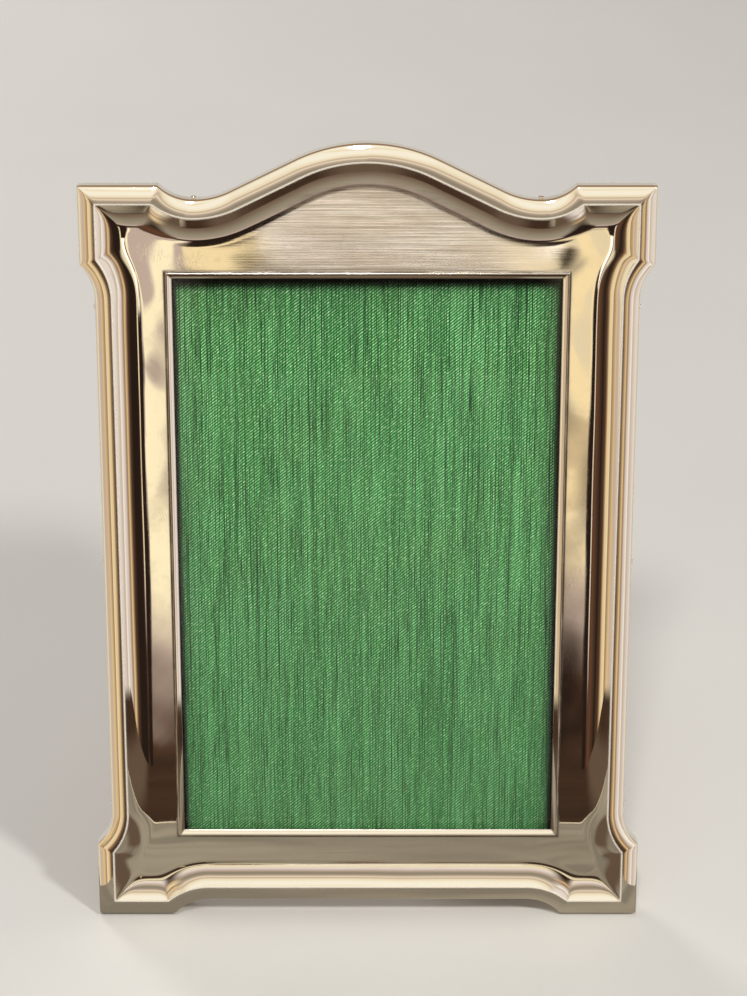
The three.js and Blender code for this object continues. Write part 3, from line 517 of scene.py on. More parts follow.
def half_outline(inset):
    """Right half of the outline set in by a distance, bottom centre to crown, with hollows and the arch."""
    up = math.pi / 2
    rail_x, ear_x, foot_x = RAIL_X - inset, EAR_X - inset, FOOT_X - inset
    rail_z, ear_z, foot_z = RAIL_Z - inset, EAR_Z - inset, FOOT_Z - inset
    hollow = HOLLOW_RADIUS + inset
    foot_run, ear_run = hollow_run(FOOT_STEP, inset), hollow_run(EAR_STEP, inset)
    foot_turn, ear_turn = math.asin(foot_run / hollow), math.asin(ear_run / hollow)
    trough_centre = (TROUGH_X, RAIL_Z + TROUGH_RADIUS)
    crown_centre = (0, CROWN_Z - CROWN_RADIUS)
    trough = arc(trough_centre, TROUGH_RADIUS + inset, -up, -up - ARCH_SLOPE, TROUGH_STEPS)
    crown = arc(crown_centre, CROWN_RADIUS - inset, up - ARCH_SLOPE, up, CROWN_STEPS)
    slope_start = arc(trough_centre, TROUGH_RADIUS + inset, -up - ARCH_SLOPE, 0, 1)[0]
    bottom = [
        line((0, -rail_z), (FOOT_HOLLOW_X, -rail_z), BOTTOM_STEPS),
        arc((FOOT_HOLLOW_X, -RAIL_Z - HOLLOW_RADIUS), hollow, up, up - foot_turn, HOLLOW_STEPS),
        line((FOOT_HOLLOW_X + foot_run, -foot_z), (foot_x, -foot_z), EAR_STEPS),
    ]
    side = [
        line((foot_x, -foot_z), (foot_x, -FOOT_HOLLOW_Z - foot_run), EAR_STEPS),
        arc((RAIL_X + HOLLOW_RADIUS, -FOOT_HOLLOW_Z), hollow, 2 * up + foot_turn, 2 * up, HOLLOW_STEPS),
        line((rail_x, -FOOT_HOLLOW_Z), (rail_x, EAR_HOLLOW_Z), SIDE_STEPS),
        arc((RAIL_X + HOLLOW_RADIUS, EAR_HOLLOW_Z), hollow, 2 * up, 2 * up - ear_turn, HOLLOW_STEPS),
        line((ear_x, EAR_HOLLOW_Z + ear_run), (ear_x, ear_z), EAR_STEPS),
    ]
    top = [
        line((ear_x, ear_z), (TROUGH_X + ear_run, ear_z), EAR_STEPS),
        arc((TROUGH_X, RAIL_Z + HOLLOW_RADIUS), hollow, ear_turn - up, -up, HOLLOW_STEPS),
        trough,
        line(slope_start, crown[0], SLOPE_STEPS),
        crown,
        np.array([[0, CROWN_Z - inset]]),
    ]
    return [np.concatenate(stretch) for stretch in (bottom, side, top)]


def mirrored(half):
    """A closed ring from its right half, which starts and ends on the centre line."""
    return np.concatenate([half, half[-2:0:-1] * (-1, 1)])


def outline_ring(inset):
    """The whole outline set in by a distance."""
    return mirrored(np.concatenate(half_outline(inset)))


def sight_ring(outset):
    """A rectangle round the sight, with its points opposite those of the outline."""
    bottom, side, top = half_outline(COVE_END)
    half_x = SIGHT_WIDTH / 2 + outset
    half_z = SIGHT_HEIGHT / 2 + outset
    corner_z = np.where(side[:, 1] < 0, FOOT_Z - COVE_END, EAR_Z - COVE_END)
    return mirrored(np.concatenate([
        np.column_stack([half_x * bottom[:, 0] / (FOOT_X - COVE_END), np.full(len(bottom), -half_z)]),
        np.column_stack([np.full(len(side), half_x), half_z * side[:, 1] / corner_z]),
        np.column_stack([half_x * top[:, 0] / (EAR_X - COVE_END), np.full(len(top), half_z)]),
    ]))


def eased(ring, spread):
    """A ring with softened corners: points are means of their neighbours, weighed by a bell of arc length."""
    step = np.linalg.norm(np.roll(ring, -1, axis=0) - ring, axis=1)
    place = np.cumsum(step) - step
    apart = np.abs(place[:, None] - place[None, :])
    apart = np.minimum(apart, step.sum() - apart)
    weight = np.exp(-0.5 * (apart / spread) ** 2) * (step + np.roll(step, 1)) / 2
    return weight @ ring / weight.sum(axis=1, keepdims=True)


EASE_RUNS = [0, BEAD_WIDTH, COVE_END, PANEL_END]
EASE_SPREADS = [0.3 * MM, 0.3 * MM, 2.0 * MM, 0.15 * MM]


def face_ring(run):
    """The ring a distance in from the edge: parallel to it over bead and cove, easing into the sight."""
    spread = np.interp(run, EASE_RUNS, EASE_SPREADS)
    if run <= COVE_END:
        return eased(outline_ring(run), spread)
    if run >= PANEL_END:
        return eased(sight_ring(SIDE_RAIL - run), spread)
    share = (run - COVE_END) / (PANEL_END - COVE_END)
    mixed = outline_ring(COVE_END) * (1 - share) + sight_ring(SIDE_RAIL - PANEL_END) * share
    return eased(mixed, spread)


# Silver moulding

def bead_height(run):
    """Bead from its foot to the ridge: a straight rise with half a sine of bulge on it."""
    share = (run - EDGE_ROUND) / (BEAD_WIDTH - EDGE_ROUND)
    return BEAD_FOOT + (RIDGE - BEAD_FOOT) * share + BEAD_BULGE * np.sin(math.pi * share)


def cove_height(run):
    """Cove from the ridge to the panel: the square of what is left of its width."""
    left = np.clip(1 - (run - BEAD_WIDTH) / COVE_WIDTH, 0, None)
    return PANEL + RIDGE_RISE * left ** 2


def face_height(run):
    """The lower of bead and cove, joined over the ridge by a smooth minimum."""
    lower = np.logaddexp(-bead_height(run) / RIDGE_SOFTNESS, -cove_height(run) / RIDGE_SOFTNESS)
    return -RIDGE_SOFTNESS * lower


WALL_STEPS = 4
EDGE_STEPS = 8
FACE_STEPS = (12, 12, 16, 8)  # on bead, ridge, cove and panel
SIGHT_STEPS = 8  # on each side of the sight bead
RIDGE_HALF = 0.5 * MM  # stretch on each side of the ridge with close rows
PANEL_BRIM = [0.4 * MM, 0.25 * MM, 0.12 * MM]  # last rows of the panel before the sight bead
BACK_RUNS = [EDGE_ROUND, 2.4 * MM, BEAD_WIDTH, 6.4 * MM, 8.4 * MM, COVE_END, PANEL_END]  # on the hidden side


def edge_profile():
    """Round between wall and bead: an arc that is tangent to both."""
    slope = math.atan((bead_height(EDGE_ROUND + SHEET) - bead_height(EDGE_ROUND)) / SHEET)
    reach = EDGE_ROUND / math.cos(slope)
    radius = reach / math.tan((math.pi / 2 - slope) / 2)
    centre = (radius, BEAD_FOOT - EDGE_ROUND * math.tan(slope) - reach)
    return arc(centre, radius, math.pi, math.pi / 2 + slope, EDGE_STEPS)


def outside_profile():
    """Pairs of run and height over wall, rounded edge, bead, ridge, cove, panel, sight bead and lip."""
    edge = edge_profile()
    levels = np.linspace(WALL_REAR, edge[0, 1], WALL_STEPS, endpoint=False)
    wall = np.column_stack([np.zeros(WALL_STEPS), levels])
    brim = PANEL_END - np.array(PANEL_BRIM)
    stops = [EDGE_ROUND, BEAD_WIDTH - RIDGE_HALF, BEAD_WIDTH + RIDGE_HALF, COVE_END, brim[0]]
    stretches = [np.linspace(start, end, steps, endpoint=False)
                 for start, end, steps in zip(stops, stops[1:], FACE_STEPS)]
    runs = np.concatenate(stretches + [brim])
    face = np.column_stack([runs, face_height(runs)])
    rise = np.linspace(0, 1, SIGHT_STEPS)
    outer = np.column_stack([PANEL_END + SIGHT_BEAD_WIDTH * rise,
                             PANEL + SIGHT_BEAD_RISE * (1 - np.cos(math.pi * rise)) / 2])
    inner = np.column_stack([SIDE_RAIL + SIGHT_LIP * rise,
                             PANEL + SIGHT_BEAD_RISE - LIP_FALL * rise ** LIP_BEND])
    return np.concatenate([wall, edge, face, outer, inner[1:], [[LIP_END, LIP_REAR]]])


def inside_profile():
    """The hidden side: a few points of the profile moved by the sheet's thickness along their mitres."""
    runs = np.array(BACK_RUNS)
    heights = np.minimum(bead_height(runs), cove_height(runs))
    profile = np.concatenate([
        [[0, WALL_REAR], [0, BEAD_FOOT - EDGE_ROUND]],
        np.column_stack([runs, heights]),
        [[SIDE_RAIL, PANEL + SIGHT_BEAD_RISE], [LIP_END, PANEL], [LIP_END, LIP_REAR]],
    ])
    step = np.diff(profile, axis=0)
    step /= np.linalg.norm(step, axis=1, keepdims=True)
    before = np.concatenate([step[:1], step])
    after = np.concatenate([step, step[-1:]])
    way = before + after
    way *= 2 / (way ** 2).sum(axis=1, keepdims=True)
    return (profile + SHEET * np.column_stack([way[:, 1], -way[:, 0]]))[::-1]


def unevenness(x, z, seed, count, length, height):
    """Gentle unevenness: sine waves of about one length in random directions."""
    random = np.random.default_rng(seed)
    total = np.zeros_like(x)
    for turn, start, size in random.uniform(0, 1, (count, 3)):
        along = x * math.cos(2 * math.pi * turn) + z * math.sin(2 * math.pi * turn)
        total += np.sin(2 * math.pi * (along / (length * (0.6 + size)) + start))
    return height * total / math.sqrt(count)


SILVER_WAVES = {"seed": 3, "count": 9, "length": 22 * MM, "height": 0.028 * MM}
WAVE_RUNS = [EDGE_ROUND, BEAD_WIDTH, COVE_END, PANEL_END]
WAVE_SHARES = [0, 0.3, 1, 0.4]  # how much of the waves reaches each of these runs


def silver_rows():
    """Rings of the sheet over its outside and back along its hidden side, with the run of each row."""
    outside = outside_profile()
    profile = np.concatenate([outside, inside_profile()])
    rows = ring_rows([face_ring(run) for run, _ in profile], profile[:, 1])
    soft = np.interp(outside[:, 0], WAVE_RUNS, WAVE_SHARES)
    shown = rows[:len(outside)]
    shown[..., 2] += soft[:, None] * unevenness(shown[..., 0], shown[..., 1], **SILVER_WAVES)
    return rows, profile[:, 0]


# Materials

class Net:
    """Shorthand for a node tree: most calls add a node, set or link its inputs and give one output."""

    def __init__(self, tree):
        self.tree = tree

    def put(self, node, inputs):
        """Sets or links inputs of a node by name or number."""
        for key, value in inputs.items():
            if isinstance(value, bpy.types.NodeSocket):
                self.tree.links.new(value, node.inputs[key])
            else:
                node.inputs[key].default_value = value
        return node

    def node(self, kind, inputs=None, **settings):
        made = self.tree.nodes.new("ShaderNode" + kind)
        for name, value in settings.items():
            setattr(made, name, value)
        return self.put(made, inputs or {})

    def add(self, kind, inputs=None, **settings):
        return self.node(kind, inputs, **settings).outputs[0]

    def math(self, operation, *values):
        return self.add("Math", dict(enumerate(values)), operation=operation)

    def times(self, first, second):
        return self.math("MULTIPLY", first, second)

    def plus(self, first, second):
        return self.math("ADD", first, second)

    def minus(self, first, second):
        return self.math("SUBTRACT", first, second)

    def most(self, first, second):
        return self.math("MAXIMUM", first, second)

    def size(self, value):
        return self.math("ABSOLUTE", value)

    def dot(self, vector, axis):
        return self.node("VectorMath", {0: vector, 1: axis}, operation="DOT_PRODUCT").outputs["Value"]

    def mix(self, share, first, second):
        return self.node("Mix", {0: share, 6: first, 7: second}, data_type="RGBA").outputs[2]

    def ramp(self, value, low, high, start=0.0, end=1.0):
        inputs = {"Value": value, "From Min": low, "From Max": high, "To Min": start, "To Max": end}
        return self.add("MapRange", inputs, interpolation_type="SMOOTHSTEP")

    def between(self, value, start, full, fade, end):
        """One from full to fade, nought before start and after end."""
        return self.times(self.ramp(value, start, full), self.ramp(value, end, fade))

    def noise(self, vector, scale, detail=3.0, roughness=0.55, distortion=0.0):
        inputs = {"Vector": vector, "Scale": scale, "Detail": detail, "Roughness": roughness,
                  "Distortion": distortion}
        return self.add("TexNoise", inputs)

    def stretched(self, vector, scale, turn=(0, 0, 0)):
        return self.add("Mapping", {"Vector": vector, "Rotation": turn, "Scale": scale})

    def drawn(self, vector, scale, detail=3.0, roughness=0.55):
        """Noise drawn out by its own scale along each axis."""
        return self.noise(self.stretched(vector, scale), 1.0, detail, roughness)

    def scale(self, value, stops):
        """Colour read off stops that stand at rising values."""
        first, last = stops[0][0], stops[-1][0]
        share = self.add("MapRange", {"Value": value, "From Min": first, "From Max": last})
        made = self.node("ValToRGB", {"Fac": share})
        marks = made.color_ramp.elements
        marks[0].color, marks[1].color = stops[0][1], stops[-1][1]
        for at, colour in stops[1:-1]:
            marks.new((at - first) / (last - first)).color = colour
        return made.outputs["Color"]

    def bump(self, strength, distance, height):
        return self.add("Bump", {"Strength": strength, "Distance": distance, "Height": height})

    def place(self):
        return self.node("TexCoord").outputs["Object"]

    def parts(self, vector):
        return self.node("SeparateXYZ", {0: vector}).outputs

    def attribute(self, name):
        return self.node("Attribute", attribute_name=name).outputs["Fac"]

    def group(self, tree, **inputs):
        return self.node("Group", inputs, node_tree=tree).outputs


def new_group(name, inputs, outputs):
    """A node group that reads a place and numbers with usual values: its net, its inputs and its exit."""
    tree = bpy.data.node_groups.new(name, "ShaderNodeTree")
    tree.interface.new_socket("Vector", in_out="INPUT", socket_type="NodeSocketVector")
    for label, usual in inputs.items():
        tree.interface.new_socket(label, in_out="INPUT", socket_type="NodeSocketFloat").default_value = usual
    for label in outputs:
        tree.interface.new_socket(label, in_out="OUTPUT", socket_type="NodeSocketFloat")
    entry = tree.nodes.new("NodeGroupInput")
    return Net(tree), entry.outputs, tree.nodes.new("NodeGroupOutput")


def new_material(name):
    """A material with one Principled shader: the material, its net and the shader."""
    material = bpy.data.materials.new(name)
    material.use_nodes = True
    tree = material.node_tree
    return material, Net(tree), tree.nodes["Principled BSDF"]


def hairlines_group():
    """Fine straight scratches: noise drawn out along two slants, kept where it crosses its middle."""
    net, entry, leave = new_group("fine hairlines", {"Scale": 1.0}, ["Lines"])
    scaled = net.add("VectorMath", {0: entry["Vector"], 3: entry["Scale"]}, operation="SCALE")
    sets = []
    for turn in (0.5, -0.9):
        drawn = net.stretched(scaled, (1500, 1500, 36), (0, turn, 0))
        crossing = net.size(net.minus(net.noise(drawn, 1.0, 1.0), 0.5))
        sets.append(net.ramp(crossing, 0.02, 0.0))
    net.put(leave, {"Lines": net.most(*sets)})
    return net.tree


def smudge_group():
    """Handling marks: two sizes of cloudy noise added up."""
    net, entry, leave = new_group("handling smudges", {"Scale": 60.0}, ["Smudge"])
    coarse = net.noise(entry["Vector"], entry["Scale"], 4.0, 0.6, 0.8)
    fine = net.noise(entry["Vector"], net.times(entry["Scale"], 9.0), 2.0)
    both = net.plus(net.times(coarse, 0.7), net.times(fine, 0.3))
    net.put(leave, {"Smudge": net.ramp(both, 0.35, 0.7)})
    return net.tree


def wear_group():
    """Worn edges: the edge value broken up by noise."""
    net, entry, leave = new_group("worn edges", {"Edge": 0.0, "Scale": 300.0}, ["Worn"])
    broken = net.noise(entry["Vector"], entry["Scale"], 3.0)
    net.put(leave, {"Worn": net.times(entry["Edge"], net.ramp(broken, 0.3, 0.65))})
    return net.tree


def oak_group():
    """Oak grain along z: wavy year bands across it, drawn-out pores and pale flecks."""
    net, entry, leave = new_group("oak grain", {}, ["Bands", "Pores", "Flecks"])
    shift = net.add("CombineXYZ", {"X": net.times(net.drawn(entry["Vector"], (30, 30, 9), 2.0), 0.02)})
    moved = net.add("VectorMath", {0: entry["Vector"], 1: shift}, operation="ADD")
    rings = {"Vector": net.stretched(moved, (1, 0.6, 0.03)), "Scale": 150.0, "Distortion": 2.0, "Detail": 3.0,
             "Detail Scale": 1.2}
    waves = {"wave_type": "BANDS", "bands_direction": "X", "wave_profile": "SAW"}
    bands = net.node("TexWave", rings, **waves).outputs["Fac"]
    bands = net.times(bands, net.ramp(net.drawn(moved, (90, 90, 6), 3.0), 0.35, 0.65, 0.25, 1.0))
    pores = net.ramp(net.drawn(moved, (2600, 2600, 130), 2.0, 0.6), 0.56, 0.66)
    flecks = net.ramp(net.drawn(moved, (420, 420, 70), 1.0), 0.62, 0.7)
    pores = net.times(pores, net.ramp(bands, 0.2, 0.8, 0.35, 1.0))
    net.put(leave, {"Bands": bands, "Pores": pores, "Flecks": flecks})
    return net.tree


HAIRLINES = hairlines_group()
SMUDGE = smudge_group()
WEAR = wear_group()
OAK = oak_group()


def silver_material():
    """Warm polished silver: a painted highlight along the ridges, a brushed arch, black grooves that are
    partly patina and partly painted shade, hairlines and smudges.
    """
    material, net, shader = new_material("polished_silver")
    place = net.place()
    brushed = net.attribute("brushed")
    ridge = net.attribute("edge")
    lines = net.group(HAIRLINES, Vector=place, Scale=1.0)["Lines"]
    smudge = net.group(SMUDGE, Vector=place, Scale=45.0)["Smudge"]
    streak = net.drawn(place, (34, 2300, 2300), 4.0, 0.6)
    bloom = net.drawn(place, (45, 190, 190), 3.0, 0.6)
    cloud = net.noise(place, 120.0, 4.0)
    # Black mask: patina on the sight bead's flank, painted shade over its glint and at the lip's end
    tarnish_and_painted_shade = net.times(net.attribute("groove"), net.ramp(cloud, 0.2, 0.6, 0.6, 1.0))
    colour = net.mix(net.times(smudge, 0.25), (0.94, 0.90, 0.84, 1), (0.89, 0.82, 0.72, 1))
    tint = net.mix(net.ramp(bloom, 0.40, 0.62), (0.99, 0.97, 0.95, 1), (0.92, 0.85, 0.79, 1))
    tint = net.mix(net.ramp(streak, 0.5, 0.75), tint, (0.84, 0.77, 0.70, 1))
    colour = net.mix(net.times(brushed, 0.85), colour, tint)
    # Painted highlight: the ridge is tinted pale
    colour = net.mix(net.times(ridge, 0.9), colour, (1.0, 0.94, 0.80, 1))
    colour = net.mix(tarnish_and_painted_shade, colour, (0.05, 0.03, 0.018, 1))
    rough = net.ramp(smudge, 0.0, 1.0, 0.02, 0.05)
    rough = net.plus(rough, net.times(net.most(tarnish_and_painted_shade, ridge), 0.3))
    rough = net.plus(rough, net.times(brushed, net.ramp(streak, 0.3, 0.7, 0.10, 0.22)))
    brush = net.times(streak, brushed)
    scratched = net.times(lines, net.ramp(cloud, 0.5, 0.65))
    height = net.minus(brush, net.times(scratched, 0.02))
    bump = net.bump(0.5, 0.02 * MM, height)
    # Painted highlight: the ridge loses most of its metal, so the lamps light it as a pale line
    metal = net.minus(1.0, net.times(ridge, 0.85))
    net.put(shader, {"Base Color": colour, "Metallic": metal, "Roughness": rough, "Normal": bump})
    return material


def brass_material():
    """Aged brass: brown patina in patches, rubbed bright on its edges."""
    material, net, shader = new_material("aged_brass")
    place = net.place()
    worn = net.group(WEAR, Vector=place, Edge=net.attribute("edge"), Scale=400.0)["Worn"]
    lines = net.group(HAIRLINES, Vector=place, Scale=1.3)["Lines"]
    cloud = net.noise(place, 260.0, 5.0, 0.65)
    spots = net.ramp(net.noise(place, 1500.0, 2.0), 0.62, 0.72)
    aged = net.mix(net.ramp(cloud, 0.35, 0.68), (0.66, 0.47, 0.20, 1), (0.36, 0.23, 0.09, 1))
    aged = net.mix(net.times(spots, 0.6), aged, (0.14, 0.085, 0.04, 1))
    colour = net.mix(net.times(worn, 0.7), aged, (0.83, 0.64, 0.32, 1))
    rough = net.minus(net.ramp(cloud, 0.3, 0.7, 0.26, 0.46), net.times(worn, 0.12))
    bump = net.bump(0.3, 0.03 * MM, net.minus(cloud, lines))
    net.put(shader, {"Base Color": colour, "Metallic": 1.0, "Roughness": rough, "Normal": bump})
    return material


def oak_material(name, tilt, light, dark):
    """Waxed oak whose grain follows a board that is tilted about the across axis."""
    material, net, shader = new_material(name)
    place = net.place()
    straight = net.stretched(place, (1, 1, 1), (-tilt, 0, 0))
    grain = net.group(OAK, Vector=straight)
    worn = net.group(WEAR, Vector=place, Edge=net.attribute("edge"), Scale=250.0)["Worn"]
    smudge = net.group(SMUDGE, Vector=place, Scale=40.0)["Smudge"]
    colour = net.mix(grain["Bands"], light, dark)
    colour = net.mix(net.times(grain["Flecks"], 0.35), colour, (0.56, 0.38, 0.20, 1))
    colour = net.mix(net.times(grain["Pores"], 0.75), colour, (0.10, 0.05, 0.02, 1))
    colour = net.mix(net.times(smudge, 0.3), colour, (0.20, 0.11, 0.05, 1))
    colour = net.mix(net.times(worn, 0.45), colour, (0.60, 0.42, 0.24, 1))
    rough = net.ramp(smudge, 0.0, 1.0, 0.42, 0.58)
    height = net.minus(net.times(grain["Bands"], 0.3), grain["Pores"])
    bump = net.bump(0.5, 0.08 * MM, height)
    net.put(shader, {"Base Color": colour, "Roughness": rough, "Normal": bump})
    return material


TWILL_PITCH = 0.6 * MM
TWILL_SLOPE = math.radians(38)


def satin_material():
    """Green slubbed satin: slanting twill, dark yarns and pale bands down it, pale yarn flecks as a painted
    highlight for its sheen, and painted shade at its foot and rim.
    """
    material, net, shader = new_material("green_satin")
    place = net.place()
    across = np.array([-math.sin(TWILL_SLOPE), 0, math.cos(TWILL_SLOPE)]) * 2 * math.pi / TWILL_PITCH
    phase = net.dot(place, tuple(across))
    waver = net.times(net.noise(place, 420.0, 2.0), 4.0)
    twill = net.ramp(net.math("SINE", net.plus(phase, waver)), -0.35, 0.35)
    yarn = net.drawn(place, (1500, 0, 1100), 2.0)
    start = net.times(net.drawn(place, (800, 0, 0), 3.0, 0.7), 30.0)
    stagger = net.add("CombineXYZ", {"Z": start})
    rib, slub = (
        net.noise(net.add("VectorMath", {0: net.stretched(place, scale), 1: stagger}), 1.0, 2.0, 0.5)
        for scale in ((2700, 0, 40), (3400, 0, 110))
    )
    band = net.drawn(place, (360, 0, 11), 2.0)
    cloud = net.noise(place, 60.0, 3.0)
    colour = net.mix(net.ramp(band, 0.35, 0.65), (0.119, 0.398, 0.138, 1), (0.211, 0.573, 0.241, 1))
    colour = net.mix(net.ramp(cloud, 0.4, 0.7, 0.0, 0.3), colour, (0.190, 0.390, 0.125, 1))
    # Pale yarn flecks: a painted highlight that stands in for the satin's sheen
    colour = net.mix(net.ramp(yarn, 0.45, 0.7, 0.0, 0.8), colour, (0.56, 0.86, 0.53, 1))
    colour = net.mix(net.times(twill, 0.95), colour, (0.010, 0.090, 0.018, 1))
    streak = net.most(net.ramp(rib, 0.52, 0.57), net.ramp(slub, 0.555, 0.605))
    colour = net.mix(net.times(streak, 0.95), colour, (0.003, 0.026, 0.006, 1))
    # Painted shade: darker towards the foot
    lower = net.ramp(net.parts(place)["Z"], 165 * MM, 30 * MM, 0.0, 0.30)
    colour = net.mix(lower, colour, (0.010, 0.085, 0.020, 1))
    # Painted shadow of the lip along the cloth's rim, kept as the edge value
    colour = net.mix(net.attribute("edge"), colour, (0.001, 0.003, 0.002, 1))
    height = net.plus(net.times(twill, -0.5), net.times(streak, -0.8))
    bump = net.bump(0.4, 0.1 * MM, height)
    net.put(shader, {"Base Color": colour, "Roughness": 0.6, "Normal": bump, "Specular IOR Level": 0.15})
    return material


def glass_material():
    """Clear glass that lets light through to the cloth: shadow rays meet a transparent surface."""
    material, net, shader = new_material("clear_glass")
    net.put(shader, {"Base Color": (0.96, 0.98, 0.97, 1), "Roughness": 0.02, "IOR": 1.35,
                     "Transmission Weight": 1.0})
    shadow = net.node("LightPath").outputs["Is Shadow Ray"]
    clear = net.add("BsdfTransparent", {"Color": (0.94, 0.97, 0.95, 1)})
    mixed = net.add("MixShader", {0: shadow, 1: shader.outputs[0], 2: clear})
    net.put(net.tree.nodes["Material Output"], {"Surface": mixed})
    return material


def card_material():
    """Matt grey-brown card with fibres."""
    material, net, shader = new_material("backing_card")
    place = net.place()
    fibres = net.drawn(place, (900, 900, 260), 4.0, 0.7)
    colour = net.mix(fibres, (0.36, 0.29, 0.20, 1), (0.58, 0.49, 0.37, 1))
    bump = net.bump(0.3, 0.05 * MM, fibres)
    net.put(shader, {"Base Color": colour, "Roughness": 0.85, "Normal": bump})
    return material


FACE_TONES = ((0.47, 0.27, 0.115, 1), (0.31, 0.165, 0.065, 1))  # light and dark wood
STRUT_TONES = ((0.45, 0.255, 0.105, 1), (0.29, 0.155, 0.06, 1))

# Each finish is a material and the name of a slot, which the script doesn't use
SILVER = (silver_material(), "silver")
BRASS = (brass_material(), "brass")
FACE_OAK = (oak_material("waxed_oak", FACE[1], *FACE_TONES), "oak")
STRUT_OAK = (oak_material("waxed_oak_strut", STRUT[1], *STRUT_TONES), "oak")
SATIN = (satin_material(), "fabric")

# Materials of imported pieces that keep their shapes
GLASS = glass_material()
CARD = card_material()


# Front: silver, pins and cloth

RIDGE_HIGHLIGHT_SPREAD = 0.22 * MM  # of the painted highlight, a bright line along the ridge
GROOVE_RUN = 0.2 * MM  # black line on the flank of the sight bead: patina in the crease and painted shade over a lamp's glint
GROOVE_SPREAD = 0.3 * MM
LIP_BLACK = 0.2 * MM  # last stretch of the lip, painted black: painted shade where the lip meets the cloth
BRUSHED_HALF = 31 * MM  # half the width of the brushed panels
BRUSHED_MIDDLE = 7 * MM
BRUSHED_START = 1.5 * MM  # over which the brushing sets in beside the sight
BRUSHED_END = 0.2 * MM  # over which it ends at the sight bead
BRUSHED_FOOT = 0.5  # share of the brushing on the panel below the sight


def make_silver():
    """The pressed sheet, with its ridge marked for a painted highlight, its grooves and the lip's end marked
    for patina and painted shade, and the brushed panels marked for the finish.
    """
    rows, runs = silver_rows()
    across, up = rows[..., 0], rows[..., 1]
    # Painted highlight along the ridge, kept as the edge value
    ridge = np.exp(-((runs - BEAD_WIDTH) / RIDGE_HIGHLIGHT_SPREAD) ** 2)
    # Black along the sight bead's flank, patina there and painted shade over a glint, and painted shade at
    # the lip's end
    groove = np.exp(-((runs - PANEL_END - GROOVE_RUN) / GROOVE_SPREAD) ** 2)
    groove = np.maximum(groove, np.clip((runs - LIP_END) / LIP_BLACK + 1, 0, 1))
    brushed = np.exp(-((across - BRUSHED_MIDDLE) / BRUSHED_HALF) ** 4)
    brushed *= np.clip((np.abs(up) - SIGHT_HEIGHT / 2) / BRUSHED_START, 0, 1)
    brushed *= np.where(up > 0, 1, BRUSHED_FOOT)
    stops = [BEAD_WIDTH, COVE_END, PANEL_END - BRUSHED_END, PANEL_END]
    brushed *= np.interp(runs, stops, [0, 1, 1, 0])[:, None]
    shell = Shell().add(rows @ FRONT, FACE, loop=True, value=ridge[:, None])
    mesh = shell.piece("pressed_silver", "frame", SILVER, "silver_front").data
    mark(mesh, "groove", np.broadcast_to(groove[:, None], brushed.shape))
    mark(mesh, "brushed", brushed)


def make_pins():
    """Pins with domed heads on the wall of the silver, beside each corner and halfway up the sides."""
    height = WALL_REAR + PIN_INSET
    profile = np.concatenate([
        [[0, -PIN_LENGTH], [PIN_RADIUS, -PIN_LENGTH + PIN_RADIUS], [PIN_RADIUS, 0]],
        dome(PIN_HEAD_RADIUS, PIN_HEAD_RISE, 0),
    ])
    for side, hand, outwards in ((1, "right", RIGHT), (-1, "left", LEFT)):
        rail = side * (RAIL_X + CLEARANCE)
        places = {
            "top": ((side * TROUGH_X, -height, RAIL_Z + CLEARANCE), UP),
            "ear": ((rail, -height, EAR_HOLLOW_Z - PIN_SETBACK), outwards),
            "side": ((rail, -height, 0), outwards),
            "foot": ((rail, -height, PIN_SETBACK - FOOT_HOLLOW_Z), outwards),
            "bottom": ((side * (FOOT_HOLLOW_X - PIN_SETBACK), -height, -RAIL_Z - CLEARANCE), DOWN),
        }
        for spot, (at, face) in places.items():
            worked(f"pin_{spot}_{hand}", "frame", FACE, SILVER, turned(profile, face, at))


SATIN_STEPS = (84, 124)
SATIN_RIM = (1.6 * MM, 0.4 * MM, 9)  # close grid lines: from inside the lip to under it, and how many
SATIN_SHADE = 0.9 * MM  # width of the painted shadow along the rim inside the sight
SATIN_TOP_SHADE = 3  # times as wide under the upper lip
SATIN_TURN = 0.25 * MM  # where the cloth turns down at its edges
SATIN_SINK = 0.08 * MM  # room for its waves below the full thickness
SATIN_WAVES = {"seed": 11, "count": 12, "length": 18 * MM, "height": 0.02 * MM}


def satin_lines(half, lip, steps):
    """Grid lines over the cloth: even inside the sight, and close together along its shaded rim."""
    inside, beyond, count = SATIN_RIM
    inner = np.linspace(0, lip - inside, steps // 2, endpoint=False)
    rim = np.linspace(lip - inside, lip + beyond, count)
    side = np.concatenate([inner, rim, [half - SATIN_TURN]])
    return np.concatenate([-side[:0:-1], side])


